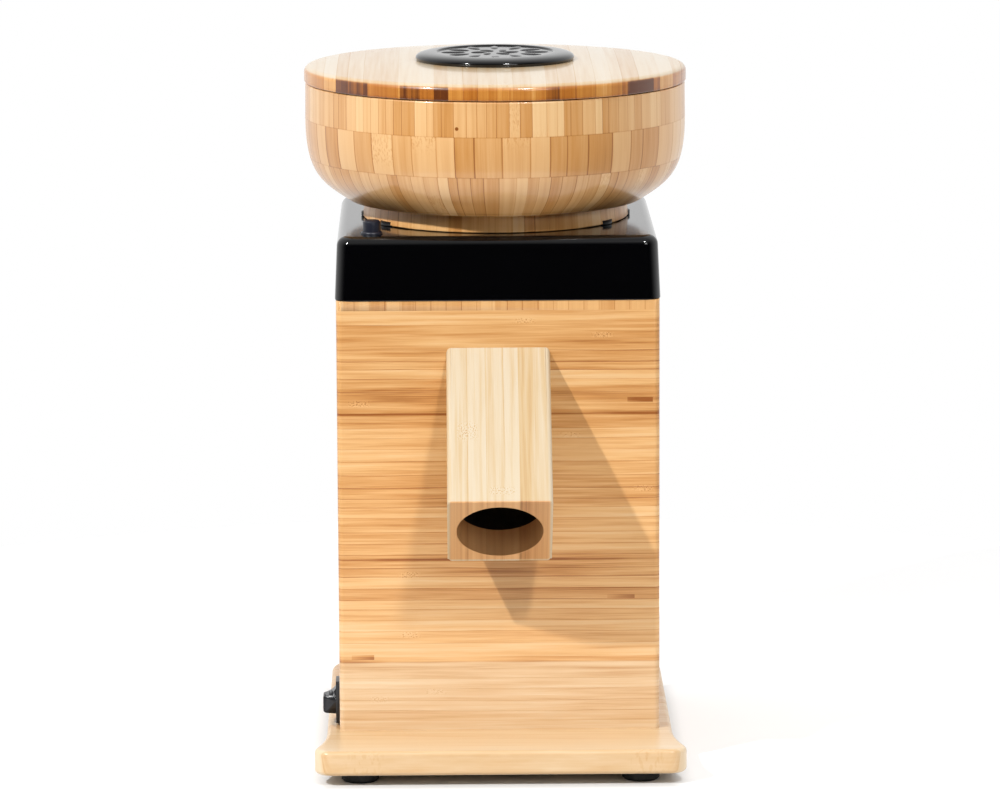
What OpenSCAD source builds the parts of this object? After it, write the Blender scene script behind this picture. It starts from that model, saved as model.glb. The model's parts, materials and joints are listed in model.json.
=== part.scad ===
// Electric stone grain mill in a laminated wood housing.
// A square wooden box on a flared base board holds an upright motor. The motor drives the lower
// stone in a cast chamber under a black cover. The staved wooden hopper screws into that chamber,
// so turning it lifts or lowers the upper stone, and the flour falls down a chute to a square
// wooden spout. Millimetres, Z up, front towards -Y, standing on its feet at Z = 0, with the
// origin under the middle of the whole mill's outline.

/* [Feet and base board] */
// Diameter of a rubber foot
foot_d = 20; // [14:1:26]
// Height of a rubber foot
foot_h = 6; // [4:0.5:10]
// Thickness of the base board
base_t = 13.4; // [10:0.2:20]
// Ledge of the base board beside and behind the housing
base_ledge = 6.8; // [4:0.2:12]
// How far the toe of the base board stands out in front of the housing
toe = 48.1; // [35:0.5:60]
// How far each side of the toe flares out to the front
toe_flare = 5.9; // [2:0.1:9]
// Radius of the two rear corners of the base board
rear_r = 25; // [14:1:32]
// Radius of the two front corners of the base board
front_r = 9; // [7:0.5:14]
// Rounding of the base board's upper and lower edges
base_edge = 2.5; // [1:0.25:4]
// Width of one air slot in the base board
vent_w = 4; // [3:0.5:6]
// Number of air slots in the base board
vent_n = 7; // [3:1:9]

/* [Housing] */
// Width and depth of the square housing
body_w = 171.4; // [165:0.2:185]
// Height of the four upright panels
panel_h = 227.6; // [220:0.5:250]
// Thickness of the panels
panel_t = 10; // [8:0.5:11]
// Rounding of the housing's upright edges
panel_r = 3; // [1:0.25:5]
// Thickness of the deck's edge that shows above the panels
deck_t = 5.1; // [4:0.1:8]
// Depth of the deck's step down between the panels
deck_step = 5; // [3:0.5:8]
// Leg of a triangular glue block in a corner of the housing
block_leg = 14; // [8:1:18]
// Number of air slots in the back panel
louvre_n = 8; // [4:1:10]
// Length of an air slot in the back panel
louvre_l = 70; // [40:2:90]

/* [Spout] */
// Side of the square spout block
spout_w = 55; // [50:0.5:60]
// Diameter of the spout's bore
spout_bore = 45.5; // [38:0.5:47]
// Angle of the spout below the level
spout_angle = 45; // [40:1:50]
// Height above the base board at which the bore's axis leaves the front panel
spout_rise = 168.7; // [160:0.5:172]
// How far the spout stands out in front of the housing
spout_reach = 69.8; // [60:0.5:80]
// Rounding of the spout block's edges
spout_edge = 2.5; // [1:0.25:4]
// Wall of the flour chute behind the spout
chute_wall = 2; // [1.5:0.25:3]

/* [Cover] */
// Height of the black cover
cover_h = 33.9; // [31:0.2:40]
// Ledge of the cover's lower rim outside the housing
cover_ledge = 0.6; // [0:0.1:2]
// Draft of each side of the cover, from its rim to its top
cover_draft = 1.5; // [0.5:0.1:3]
// Radius of the cover's upright corners
cover_r = 8; // [6:0.5:14]
// Rounding of the cover's upper edge
cover_edge = 5; // [3:0.5:5.5]
// Wall of the cover
cover_wall = 3; // [2:0.25:4]

/* [Hopper and lid] */
// Height of the turning ring under the hopper
ring_h = 9.7; // [8:0.1:14]
// Width of the turning ring at its foot
ring_w = 11.9; // [10:0.1:14]
// Height of the hopper bowl
bowl_h = 63.6; // [55:0.5:80]
// Largest outer radius of the hopper bowl
bowl_r = 102.8; // [98:0.2:112]
// Radius of the flat under the hopper bowl
bowl_foot_r = 79; // [76:0.5:86]
// Wall of the hopper bowl at its rim
bowl_wall = 8.5; // [6:0.25:12]
// How far the lid's edge stands out past the bowl
lid_over = 0.4; // [0:0.1:2]
// Height of the lid's edge
lid_h = 8.6; // [7:0.1:14]
// Height of the lid's crown above its edge
lid_crown = 2.4; // [1:0.1:4]
// Depth of the lid's step down into the hopper
lid_step = 6; // [4:0.5:10]
// Radius of the lid's black knob
knob_r = 42.9; // [34:0.5:50]
// Height of the lid's black knob
knob_h = 4.5; // [3.5:0.1:8]
// Width of the knob's rounded shoulder round its face
knob_shoulder = 11; // [7:0.5:14]

/* [Milling set] */
// Radius of a millstone
stone_r = 37.5; // [33:0.5:38.5]
// Thickness of a millstone
stone_t = 13; // [10:0.5:15]
// Gap between the stones at the finest setting
stone_gap = 0.4; // [0.3:0.05:1]
// Furrows in each stone
furrow_n = 12; // [6:1:18]
// Depth of a furrow
furrow_d = 1.2; // [0.8:0.1:2]
// Radius of the eye of the lower stone
eye_r = 10; // [9:0.5:12]
// Width of the ledge in the milling chamber that holds the guide pins
ledge_w = 6; // [5.5:0.25:7]
// Radius of the thread bore in the chamber's neck
neck_r = 52; // [51.5:0.25:53]
// Wall of the chamber's neck
neck_wall = 5; // [4:0.25:5.5]
// Depth of the hopper's threaded skirt in the neck
thread_l = 17; // [13:0.5:18]
// Radius of the hopper's feed throat
throat_r = 12; // [10:0.5:14]

/* [Motor] */
// Radius of the motor
motor_r = 50; // [46:0.5:52]
// Length of the motor's shell between its end bells
can_h = 74; // [66:1:80]
// Radius of the motor shaft
shaft_r = 6; // [5:0.25:7]
// Height of the bracket that hangs the motor under the chamber
bracket_h = 42; // [36:1:44]
// Radius of the cooling fan
fan_r = 40; // [34:0.5:44]
// Blades on the cooling fan
fan_n = 9; // [6:1:12]

/* [Switch, button and cord gland] */
// Height of the rocker switch's bezel
bezel_h = 23; // [21:0.25:24]
// Width of the rocker switch's bezel
bezel_w = 15; // [13.5:0.25:16]
// Depth of the bezel's rim in front of the panel
bezel_t = 2.2; // [1.5:0.1:3]
// Height of the switch's middle above the base board
switch_rise = 12.6; // [12.4:0.2:40]
// Distance of the switch's middle behind the front face
switch_back = 19.7; // [19.7:0.2:40]
// Diameter of the overload reset button
button_d = 9.5; // [8:0.1:11]
// Height of the reset button above the cover
button_h = 7.2; // [6:0.2:10]
// Travel of the reset button
button_travel = 2.5; // [1.5:0.1:3]
// Distance of the reset button from the cover's left side
button_side = 19.8; // [18.5:0.1:26]
// Distance of the reset button from the cover's front
button_front = 17.1; // [16.5:0.1:24]
// Diameter of the cord's way through the gland
gland_bore = 7.2; // [6:0.1:8]

/* [Hidden] */
$fn = 64;
eps = 0.01;
touch_gap = 0.3;   // between parts that turn or slide past each other
run_gap = 0.03;    // radial, round a turning shaft or pin
fit_gap = 0.05;    // radial, round a screw or pin that stays put
body_hw = body_w / 2;
inner_hw = body_hw - panel_t;
cover_hw = body_hw + cover_ledge;
lid_r = bowl_r + lid_over;
chamber_r = neck_r - ledge_w;
button_x = cover_hw - button_side;
button_y = cover_hw - button_front;

// Heights, from the floor up
z_floor = foot_h + base_t;
z_deck = z_floor + panel_h;
z_cover = z_deck + deck_t;
z_top = z_cover + cover_h;
z_ring = z_top + touch_gap;
z_bowl = z_ring + ring_h;
z_rim = z_bowl + bowl_h;
z_lid = z_rim + touch_gap;
z_lid_edge = z_lid + lid_h;
z_knob = z_lid_edge + lid_crown;

// Heights of the milling set, from the hopper's skirt down
z_skirt = z_ring - thread_l;
carrier_t = 5;
z_carrier = z_skirt - touch_gap - carrier_t;
z_ledge = z_carrier - 1.5;
z_upper = z_skirt - touch_gap - stone_t;
z_lower = z_upper - stone_gap - stone_t;
hub_t = 6;
hub_r = stone_r - 7.5;
drive_ring_r = hub_r - 8;
drive_pin_r = 2;
stub_l = 7;
z_hub = z_lower - hub_t;
plate_t = 2;
z_sweep = z_hub - plate_t;
z_pan = z_sweep - 1;
pan_t = 5;
z_pan_under = z_pan - pan_t;
bearing_r = 16;
bearing_t = 10;
seal_r = 12;
seal_t = 4;
z_seal = z_pan - 1.5 - seal_t;
z_bearing = z_seal - bearing_t;
boss_r = 20;
z_boss = z_bearing - 0.5;

// Heights of the motor, from its bracket down
z_motor = z_pan_under - bracket_h;
bell_t = 12;
bell_rim = 4;
z_can_top = z_motor - bell_t;
z_can = z_can_top - can_h;
z_bell = z_can - bell_t;
fan_h = 14;
z_fan = z_bell - 4 - fan_h;
z_shaft = z_fan - 2;
core_h = can_h - 24;
core_r = 27;
air_gap = 0.6;
coil_r = motor_r - 7;
coil_h = 9;
slot_n = 12;
slot_l = 10;
slot_w = 3;
slot_at = core_r + 6;
bracket_r = motor_r - 6;

// The mill's axis lies off the middle of the outline, which runs from spout to hopper
axis_y = (body_hw + spout_reach - lid_r) / 2;

// Base board
base_hw = body_hw + base_ledge;
base_back = body_hw + base_ledge + 0.5;
base_front = body_hw + toe;
toe_hw = base_hw + toe_flare;
toe_run = toe - front_r;
flare_r = (pow(front_r - toe_flare, 2) + toe_run * toe_run - front_r * front_r) / (2 * toe_flare);
flare_angle = asin(toe_run / (flare_r + front_r));
foot_inset = 18;
foot_x = base_hw - foot_inset;
foot_back = base_back - foot_inset;
foot_front = base_front - foot_inset;

// Screws
wood_r = 2;
head_r = 3.6;
head_h = 2.6;
panel_mid = body_hw - panel_t / 2;
screw_side = inner_hw - 30.7;
wood_depth = 20;
sink = 3.2;
boss_x = inner_hw - 7.7;
boss_y = 47;
cover_boss_r = 5;
cover_boss_h = 14;
flange_r = neck_r + 18;
flange_t = 5;
flange_screw_r = flange_r - 6.5;
bracket_flange = 6;
bracket_screw_r = 34;
bell_screw_r = 36;

// Spout and chute
z_spout = z_floor + spout_rise;
spout_tilt = 90 + spout_angle;
spout_len = (spout_reach - spout_w / 2 * sin(spout_angle)) / cos(spout_angle);
bore_r = spout_bore / 2;
mouth_r = bore_r + 1.25;
mouth_l = bore_r + 0.25;
window_hw = 18;
window_low = z_pan + 0.6;
window_top = z_deck - 3.4;
spout_screw_x = 20;
spout_screw_l = 12;
spout_screw_z = z_spout - 34;

// Hopper collar
skirt_r = neck_r - 0.4;
skirt_in = skirt_r - 4.6;
collar_r = neck_r + 8;
ring_r = collar_r + ring_w;
collar_t = 6;
collar_screw_l = 5;
rim_in = collar_r - 2.1;
bowl_hole = neck_r - 5.7;
ring_top_r = ring_r - 0.9;
bowl_floor = 7.5;
ear_angles = [34, 0, -34, 146, 180, 214];
ear_r = 9;
ear_t = 2.1;
ear_reach = ring_r + 1 - ear_r;
collar_screw_r = neck_r + 2.8;

// Guide pins and springs of the stone carrier
pin_ring_r = (chamber_r + neck_r) / 2 + 0.25;
pin_r = 1.5;
pocket_r = 2;
pocket_d = 8;

// Rocker switch
cut_w = bezel_w - 2;
cut_h = bezel_h - 3.4;
switch_y = switch_back - body_hw;
z_switch = z_floor + switch_rise;
rocker_w = cut_w - 2.4;
well_w = cut_w - 2;
well_h = bezel_h - 5.6;
pivot_in = 0.5;
pivot_up = 0.5;

module on_axis() {
    translate([0, axis_y, 0]) children();
}

// A rectangle with round corners, centred
module rounded_rect(w, d, r) {
    square([w - 2 * r, d], center = true);
    square([w, d - 2 * r], center = true);
    for (sx = [-1, 1], sy = [-1, 1]) {
        translate([sx * (w / 2 - r), sy * (d / 2 - r)]) circle(r);
    }
}

module tube(r_out, r_in, h) {
    difference() {
        cylinder(r = r_out, h = h);
        translate([0, 0, -eps]) cylinder(r = r_in, h = h + 2 * eps);
    }
}

// A screw with its seat at Z = 0, its head above and its shank below
module screw(shank_r, shank_l, head_r, head_h) {
    translate([0, 0, -shank_l]) cylinder(r = shank_r, h = shank_l + eps);
    difference() {
        cylinder(r = head_r, h = head_h);
        translate([0, 0, head_h * 0.45]) cylinder(r = head_r * 0.5, h = head_h, $fn = 6);
    }
}

// An upright screw hole of length h, from z up
module screw_hole(z, h) {
    translate([0, 0, z]) cylinder(r = wood_r + fit_gap, h = h);
}

// Four places, square about the axis
module at_corners(x, y) {
    for (sx = [-1, 1], sy = [-1, 1]) {
        translate([sx * x, sy * y, 0]) children();
    }
}

module around(n, r, start = 0) {
    for (i = [0 : n - 1]) {
        rotate([0, 0, start + i * 360 / n]) translate([r, 0, 0]) children();
    }
}

// The places of the screws that go through the edges of the four panels
module at_panel_edges() {
    at_corners(panel_mid, screw_side) children();
    at_corners(screw_side, panel_mid) children();
}

module at_feet() {
    for (sx = [-1, 1], y = [foot_back, -foot_front]) {
        translate([sx * foot_x, y, 0]) children();
    }
}

function arc(x, y, r, from, to, n) = [
    for (i = [0 : n]) let (a = from + (to - from) * i / n) [x + r * cos(a), y + r * sin(a)]
];

// A cubic curve through p0 and p3, shaped by p1 and p2
function bezier(p0, p1, p2, p3, n) = [
    for (i = [0 : n]) let (t = i / n, s = 1 - t)
        s * s * s * p0 + 3 * s * s * t * p1 + 3 * s * t * t * p2 + t * t * t * p3
];

// A coil spring standing on Z = 0
module coil(coil_r, wire_r, turns, h) {
    steps = 10;
    sides = 6;
    n = turns * steps;
    rise = h - 2 * wire_r;
    pts = [
        for (i = [0 : n], k = [0 : sides - 1])
            let (a = i * 360 / steps, b = k * 360 / sides, r = coil_r + wire_r * cos(b))
            [r * cos(a), r * sin(a), wire_r + rise * i / n + wire_r * sin(b)]
    ];
    skin = [
        for (i = [0 : n - 1], k = [0 : sides - 1]) let (m = (k + 1) % sides)
            [i * sides + k, i * sides + m, (i + 1) * sides + m, (i + 1) * sides + k]
    ];
    ends = [
        [for (k = [sides - 1 : -1 : 0]) k],
        [for (k = [0 : sides - 1]) n * sides + k]
    ];
    polyhedron(points = pts, faces = concat(skin, ends), convexity = 4);
}

// ---- Base ----

// The right half of the board's outline, drawn in by e: rear corner, flare and front corner
function base_side(e) = concat(
    arc(base_hw - rear_r, base_back - rear_r, rear_r - e, 90, 0, 8),
    arc(base_hw + flare_r, -body_hw, flare_r + e, 180, 180 + flare_angle, 6),
    arc(toe_hw - front_r, front_r - base_front, front_r - e, flare_angle - 12, -90, 8)
);

// The board is a stack of outlines, drawn in towards its lower and upper edges
module base_slab() {
    e = base_edge;
    steps = [for (a = [-22.5, 22.5, 45, 67.5, 90]) [e * (1 - sin(a)), sign(a) * e * (1 - cos(a))]];
    layers = concat(steps, [for (i = [len(steps) - 1 : -1 : 0]) [steps[i][0], base_t - steps[i][1]]]);
    half = len(base_side(0));
    n = 2 * half;
    points = [
        for (layer = layers) let (side = base_side(layer[0]))
            for (i = [0 : n - 1])
                i < half ? [side[i][0], side[i][1], layer[1]]
                         : [-side[n - 1 - i][0], side[n - 1 - i][1], layer[1]]
    ];
    last = (len(layers) - 1) * n;
    skin = [
        for (k = [0 : n : last - n], i = [0 : n - 1]) let (j = (i + 1) % n)
            [k + i, k + j, k + n + j, k + n + i]
    ];
    caps = [[for (i = [n - 1 : -1 : 0]) i], [for (i = [0 : n - 1]) last + i]];
    intersection() {
        polyhedron(points = points, faces = concat(skin, caps), convexity = 4);
        translate([-base_front, -2 * base_front, 0]) cube([2 * base_front, 4 * base_front, base_t]);
    }
}

module base_board() color([0.90, 0.72, 0.50]) on_axis() difference() {
    translate([0, 0, foot_h]) base_slab();
    at_feet() screw_hole(foot_h - eps, base_t * 0.6 + 0.3);
    at_panel_edges() {
        translate([0, 0, foot_h - eps]) cylinder(r = head_r + 0.2, h = sink + eps);
        screw_hole(foot_h, base_t + 1);
    }
    for (i = [0 : vent_n - 1]) {
        translate([(i - (vent_n - 1) / 2) * 2.4 * vent_w, 0, foot_h + base_t / 2])
            cube([vent_w, 60, base_t + 2], center = true);
    }
}

module rubber_feet() color([0.12, 0.12, 0.13]) on_axis() at_feet() difference() {
    union() {
        cylinder(r = foot_d / 2 - 1, h = foot_h);
        translate([0, 0, 1]) cylinder(r = foot_d / 2, h = foot_h - 1);
    }
    translate([0, 0, -eps]) cylinder(r = head_r + 0.6, h = foot_h / 2 + eps);
    screw_hole(0, foot_h + 1);
}

module foot_screws() color([0.75, 0.75, 0.77]) on_axis() at_feet()
    translate([0, 0, foot_h / 2]) mirror([0, 0, 1])
        screw(wood_r, foot_h / 2 + base_t * 0.6, head_r, foot_h / 2 - 0.6);

module base_screws() color([0.75, 0.75, 0.77]) on_axis() at_panel_edges()
    translate([0, 0, foot_h + sink]) mirror([0, 0, 1])
        screw(wood_r, base_t - sink + wood_depth, head_r, head_h);

// ---- Housing ----

// A panel lying across the mill, its outer face at -Y, with its two outer edges rounded
module cross_panel() {
    difference() {
        translate([0, 0, z_floor]) linear_extrude(height = panel_h) {
            translate([panel_r - body_hw, -body_hw]) square([body_w - 2 * panel_r, panel_t]);
            translate([-body_hw, panel_r - body_hw]) square([body_w, panel_t - panel_r]);
            for (side = [-1, 1]) {
                translate([side * (body_hw - panel_r), panel_r - body_hw]) circle(panel_r);
            }
        }
        panel_pilots();
    }
}

// Blind holes for the screws that come in from the base board and from the deck
module panel_pilots() {
    at_panel_edges() {
        screw_hole(z_floor - 1, wood_depth + 1.3);
        screw_hole(z_deck - wood_depth, wood_depth + 1);
    }
}

// A straight bore down the spout's slant, from l0 before the front face to l1 past it
module down_spout(l0, l1) {
    translate([0, -body_hw, z_spout]) rotate([spout_tilt, 0, 0]) translate([0, 0, -l0]) {
        linear_extrude(height = l0 + l1) children();
    }
}

module front_panel() color([0.87, 0.68, 0.46]) on_axis() difference() {
    cross_panel();
    down_spout(60, 60) circle(mouth_r);
    for (side = [-1, 1]) {
        translate([side * spout_screw_x, 1 - inner_hw, spout_screw_z]) rotate([90, 0, 0])
            cylinder(r = wood_r + fit_gap, h = panel_t + 2);
    }
}

module back_panel() color([0.85, 0.66, 0.44]) on_axis() difference() {
    mirror([0, 1, 0]) cross_panel();
    for (i = [0 : louvre_n - 1]) {
        translate([0, body_hw - panel_t / 2, z_floor + 60 + i * 12]) {
            cube([louvre_l, panel_t + 2, 4], center = true);
            for (side = [-1, 1]) {
                translate([side * louvre_l / 2, 0, 0]) rotate([90, 0, 0])
                    cylinder(r = 2, h = panel_t + 2, center = true);
            }
        }
    }
    at_gland() translate([0, 0, -panel_t - 1]) cylinder(r = gland_body_r + 0.2, h = panel_t + 2);
}

module side_panel() difference() {
    translate([inner_hw, -inner_hw, z_floor]) cube([panel_t, 2 * inner_hw, panel_h]);
    panel_pilots();
}

module right_panel() color([0.84, 0.65, 0.43]) on_axis() side_panel();

module left_panel() color([0.86, 0.67, 0.45]) on_axis() difference() {
    mirror([1, 0, 0]) side_panel();
    translate([-body_hw, switch_y, z_switch])
        cube([4 * panel_t, cut_w + 0.2, cut_h + 0.2], center = true);
}

module corner_blocks() color([0.80, 0.62, 0.42]) on_axis() {
    low = z_floor + 70;
    for (sx = [0, 1], sy = [0, 1]) {
        mirror([sx, 0, 0]) mirror([0, sy, 0]) translate([inner_hw, inner_hw, low])
            linear_extrude(height = z_deck - deck_step - low)
                polygon([[0, 0], [-block_leg, 0], [0, -block_leg]]);
    }
}

module top_deck() color([0.90, 0.70, 0.47]) on_axis() difference() {
    union() {
        translate([0, 0, z_deck]) linear_extrude(height = deck_t) rounded_rect(body_w, body_w, panel_r);
        translate([-inner_hw + 0.2, -inner_hw + 0.2, z_deck - deck_step])
            cube([2 * inner_hw - 0.4, 2 * inner_hw - 0.4, deck_step + eps]);
    }
    translate([0, 0, z_deck - deck_step - 1]) cylinder(r = neck_r + 0.5, h = deck_step + deck_t + 2);
    translate([-mouth_r - chute_wall - 1, -inner_hw - 1, z_deck - deck_step - 1])
        cube([2 * (mouth_r + chute_wall + 1), inner_hw, deck_step + 1]);
    at_panel_edges() {
        translate([0, 0, z_cover - sink]) cylinder(r = head_r + 0.2, h = sink + 1);
        screw_hole(z_deck - 1, deck_t + 1);
    }
    at_corners(boss_x, boss_y) screw_hole(z_deck - deck_step - 1, deck_step + deck_t + 2);
    around(4, flange_screw_r, 45) screw_hole(z_deck - deck_step - 1, deck_step + deck_t + 2);
}

module deck_screws() color([0.75, 0.75, 0.77]) on_axis() at_panel_edges()
    translate([0, 0, z_cover - sink]) screw(wood_r, deck_t - sink + wood_depth - 0.3, head_r, head_h);

// ---- Spout and chute ----

// The slanted block: a square bar with all its edges rounded, cut off along the front panel
module spout_bar() {
    l = spout_len;
    w = spout_w;
    back = 2 * w;
    intersection() {
        translate([0, 0, -back]) linear_extrude(height = l + back) rounded_rect(w, w, spout_edge);
        for (turn = [0, 90]) {
            rotate([0, 0, turn]) translate([0, w, (l - back) / 2]) rotate([90, 0, 0])
                linear_extrude(height = 2 * w) rounded_rect(w, l + back, spout_edge);
        }
    }
}

module spout_block() color([0.93, 0.76, 0.55]) on_axis() difference() {
    translate([0, -body_hw, z_spout]) rotate([spout_tilt, 0, 0]) spout_bar();
    translate([-spout_w, -body_hw, 0]) cube([2 * spout_w, 4 * body_hw, 2 * z_spout]);
    down_spout(80, 200) circle(bore_r);
    down_spout(80, mouth_l) circle(mouth_r);
    for (side = [-1, 1]) {
        translate([side * spout_screw_x, eps - body_hw, spout_screw_z]) rotate([90, 0, 0])
            cylinder(r = wood_r - 0.2 + fit_gap, h = spout_screw_l + 0.3);
    }
}

module spout_screws() color([0.75, 0.75, 0.77]) on_axis() for (side = [-1, 1]) {
    translate([side * spout_screw_x, -inner_hw, spout_screw_z]) rotate([-90, 0, 0])
        screw(wood_r - 0.2, panel_t + spout_screw_l, head_r, head_h);
}

// The chute's flow: from the chamber's window down to the panel's round hole, grown by its wall
module chute_form(grow) {
    hull() {
        intersection() {
            down_spout(80, 10) circle(mouth_r + grow, $fn = 32);
            translate([-50, -inner_hw, 0]) cube([100, 0.5, 2 * z_spout]);
        }
        translate([-window_hw - grow, -chamber_r + 6, window_low - grow])
            cube([2 * (window_hw + grow), 1, window_top - window_low + 2 * grow]);
    }
}

module chute() color([0.20, 0.20, 0.22]) on_axis() difference() {
    chute_form(chute_wall);
    chute_form(0);
    translate([0, 0, z_pan_under - 1]) cylinder(r = neck_r + touch_gap, h = 60);
}

// ---- Cover ----

module cover_form(inset, h) {
    hw = cover_hw - inset;
    r = cover_r - inset;
    e = max(cover_edge - inset, 0.5);
    draft = cover_draft * h / cover_h;
    hull() {
        linear_extrude(height = eps) rounded_rect(2 * hw, 2 * hw, r, $fn = 32);
        for (a = [0 : 22.5 : 90]) {
            w = 2 * (hw - draft - e * (1 - cos(a)));
            translate([0, 0, h - e + e * sin(a) - eps]) linear_extrude(height = eps)
                rounded_rect(w, w, max(r - e * (1 - cos(a)), 0.5), $fn = 32);
        }
    }
}

module at_button() {
    translate([-button_x, -button_y, 0]) children();
}

collar_foot_r = button_d / 2 + 1.1;
button_hole = button_d / 2 + 0.25;

module top_cover() color([0.06, 0.06, 0.06]) on_axis() difference() {
    union() {
        difference() {
            translate([0, 0, z_cover]) cover_form(0, cover_h);
            translate([0, 0, z_cover - eps]) cover_form(cover_wall, cover_h - cover_wall);
        }
        at_corners(boss_x, boss_y) translate([0, 0, z_cover])
            cylinder(r = cover_boss_r, h = cover_h - cover_wall);
        at_button() translate([0, 0, z_top]) rotate_extrude()
            polygon([
                [0, -1], [collar_foot_r, -1], [collar_foot_r, 0.4], [button_hole + 0.3, 1.4], [0, 1.4]
            ]);
    }
    translate([0, 0, z_cover]) cylinder(r = neck_r + neck_wall + 1, h = cover_h + 5);
    at_button() translate([0, 0, z_cover]) cylinder(r = button_hole, h = cover_h + 5);
    at_corners(boss_x, boss_y) screw_hole(z_cover - 1, cover_boss_h + 1);
}

module cover_screws() color([0.75, 0.75, 0.77]) on_axis() at_corners(boss_x, boss_y)
    translate([0, 0, z_deck - deck_step]) mirror([0, 0, 1])
        screw(wood_r, deck_step + deck_t + cover_boss_h - 1, head_r, head_h);

// ---- Overload breaker and its reset button ----

breaker_r = 8;
breaker_h = 21;
z_breaker = z_top - cover_wall - breaker_h;
z_well = z_top - 4.8;
z_button = z_well + button_travel + touch_gap;

module overload_breaker() color([0.25, 0.25, 0.27]) on_axis() at_button() {
    difference() {
        translate([0, 0, z_breaker]) cylinder(r = breaker_r, h = breaker_h);
        translate([0, 0, z_well]) cylinder(r = button_hole, h = 10);
    }
    for (side = [-1, 1]) {
        translate([side * 4, 0, z_breaker - 4]) cube([0.8, 5, 8.2], center = true);
    }
}

module reset_button() color([0.13, 0.14, 0.19]) on_axis() at_button() difference() {
    top = z_top + button_h;
    union() {
        translate([0, 0, z_button]) cylinder(d = button_d, h = top - 0.8 - z_button);
        translate([0, 0, z_button]) cylinder(d = button_d - 1.6, h = top - z_button);
    }
    translate([0, 0, z_button - 1]) cylinder(r = button_d / 2 - 1.6, h = top - 2.2 - z_button + 1);
}

module reset_spring() color([0.8, 0.8, 0.82]) on_axis() at_button()
    translate([0, 0, z_well]) coil(button_d / 2 - 2.4, 0.35, 5, z_top + button_h - 2.2 - z_well);

// ---- Milling chamber ----

module mill_chamber() color([0.72, 0.73, 0.75]) on_axis() difference() {
    rotate_extrude() polygon([
        [shaft_r + 1, z_pan], [chamber_r, z_pan], [chamber_r, z_ledge], [neck_r, z_ledge],
        [neck_r, z_top - touch_gap], [neck_r + neck_wall, z_top - touch_gap],
        [neck_r + neck_wall, z_cover + flange_t], [flange_r, z_cover + flange_t],
        [flange_r, z_cover], [neck_r, z_cover], [neck_r, z_pan_under], [boss_r, z_pan_under],
        [boss_r, z_boss], [bearing_r, z_boss], [bearing_r, z_seal], [seal_r, z_seal],
        [seal_r, z_seal + seal_t], [shaft_r + 1, z_seal + seal_t]
    ]);
    translate([-window_hw, -neck_r - 1, window_low])
        cube([2 * window_hw, neck_r - chamber_r + 12, window_top - window_low]);
    around(3, pin_ring_r, 30) translate([0, 0, z_ledge - pocket_d])
        cylinder(r = pocket_r, h = pocket_d + 1);
    around(3, pin_ring_r, 90) translate([0, 0, z_ledge - pocket_d])
        cylinder(r = pin_r + fit_gap, h = pocket_d + 1);
    around(4, flange_screw_r, 45) screw_hole(z_cover - 1, flange_t + 2);
    around(4, bracket_screw_r, 45) screw_hole(z_pan_under - 1, pan_t);
}

module chamber_screws() color([0.75, 0.75, 0.77]) on_axis() around(4, flange_screw_r, 45)
    translate([0, 0, z_cover + flange_t]) screw(wood_r, flange_t + deck_t + deck_step, head_r, head_h);

module guide_pins() color([0.8, 0.8, 0.82]) on_axis() around(3, pin_ring_r, 90)
    translate([0, 0, z_ledge - pocket_d + 0.2])
        cylinder(r = pin_r, h = z_carrier + carrier_t - z_ledge + pocket_d - 0.6);

module stone_springs() color([0.8, 0.8, 0.82]) on_axis() around(3, pin_ring_r, 30)
    translate([0, 0, z_ledge - pocket_d])
        coil(pocket_r - 0.6, 0.35, 5, z_carrier - z_ledge + pocket_d);

module shaft_seal() color([0.15, 0.12, 0.11]) on_axis()
    translate([0, 0, z_seal]) tube(seal_r, shaft_r + run_gap, seal_t);

// A ball bearing: two races with a ring of balls between their shields
module bearing() {
    tube(bearing_r, bearing_r - 2.6, bearing_t);
    tube(shaft_r + 2.2, shaft_r + run_gap, bearing_t);
    translate([0, 0, 0.6]) tube(bearing_r - 2.6, shaft_r + 2.2, bearing_t - 1.2);
}

module chamber_bearing() color([0.78, 0.78, 0.8]) on_axis() translate([0, 0, z_bearing]) bearing();

// ---- Motor ----

module motor_bracket() color([0.70, 0.71, 0.73]) on_axis() translate([0, 0, z_motor]) difference() {
    union() {
        cylinder(r = boss_r + 5, h = bracket_h);
        cylinder(r = bracket_r, h = bracket_flange);
        translate([0, 0, bracket_h - bracket_flange])
            cylinder(r = bracket_screw_r + 7, h = bracket_flange);
        for (i = [0 : 3]) {
            rotate([0, 0, i * 90]) translate([0, -2, 0]) cube([bracket_r - 4, 4, bracket_h]);
        }
    }
    translate([0, 0, -1]) cylinder(r = boss_r + touch_gap, h = bracket_h + 2);
    around(4, bracket_screw_r, 45) cylinder(r = wood_r + fit_gap, h = bracket_h + 1);
    around(4, bell_screw_r, 45) screw_hole(-1, bracket_flange + 2);
}

module bracket_screws() color([0.75, 0.75, 0.77]) on_axis() around(4, bracket_screw_r, 45)
    translate([0, 0, z_pan_under - bracket_flange]) mirror([0, 0, 1])
        screw(wood_r, bracket_flange + pan_t - 1.3, head_r, head_h);

module motor_screws() color([0.75, 0.75, 0.77]) on_axis() around(4, bell_screw_r, 45)
    translate([0, 0, z_motor + bracket_flange]) screw(wood_r, bracket_flange + bell_t - 4, head_r, head_h);

// An end bell: it closes the motor's shell at Z = 0 and holds a bearing in its inner side
module end_bell() {
    difference() {
        union() {
            cylinder(r = motor_r, h = bell_t - bell_rim);
            cylinder(r = motor_r - 5, h = bell_t);
        }
        translate([0, 0, -eps]) cylinder(r = bearing_r, h = bearing_t + eps);
        cylinder(r = shaft_r + 1, h = bell_t + 1);
        around(6, core_r, 0) translate([0, 0, -1]) cylinder(r = 4, h = bell_t + 2);
    }
}

module motor_top_bell() color([0.66, 0.67, 0.69]) on_axis() difference() {
    translate([0, 0, z_can_top]) end_bell();
    around(4, bell_screw_r, 45) screw_hole(z_motor - bell_t + 3.5, bell_t);
}

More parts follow.
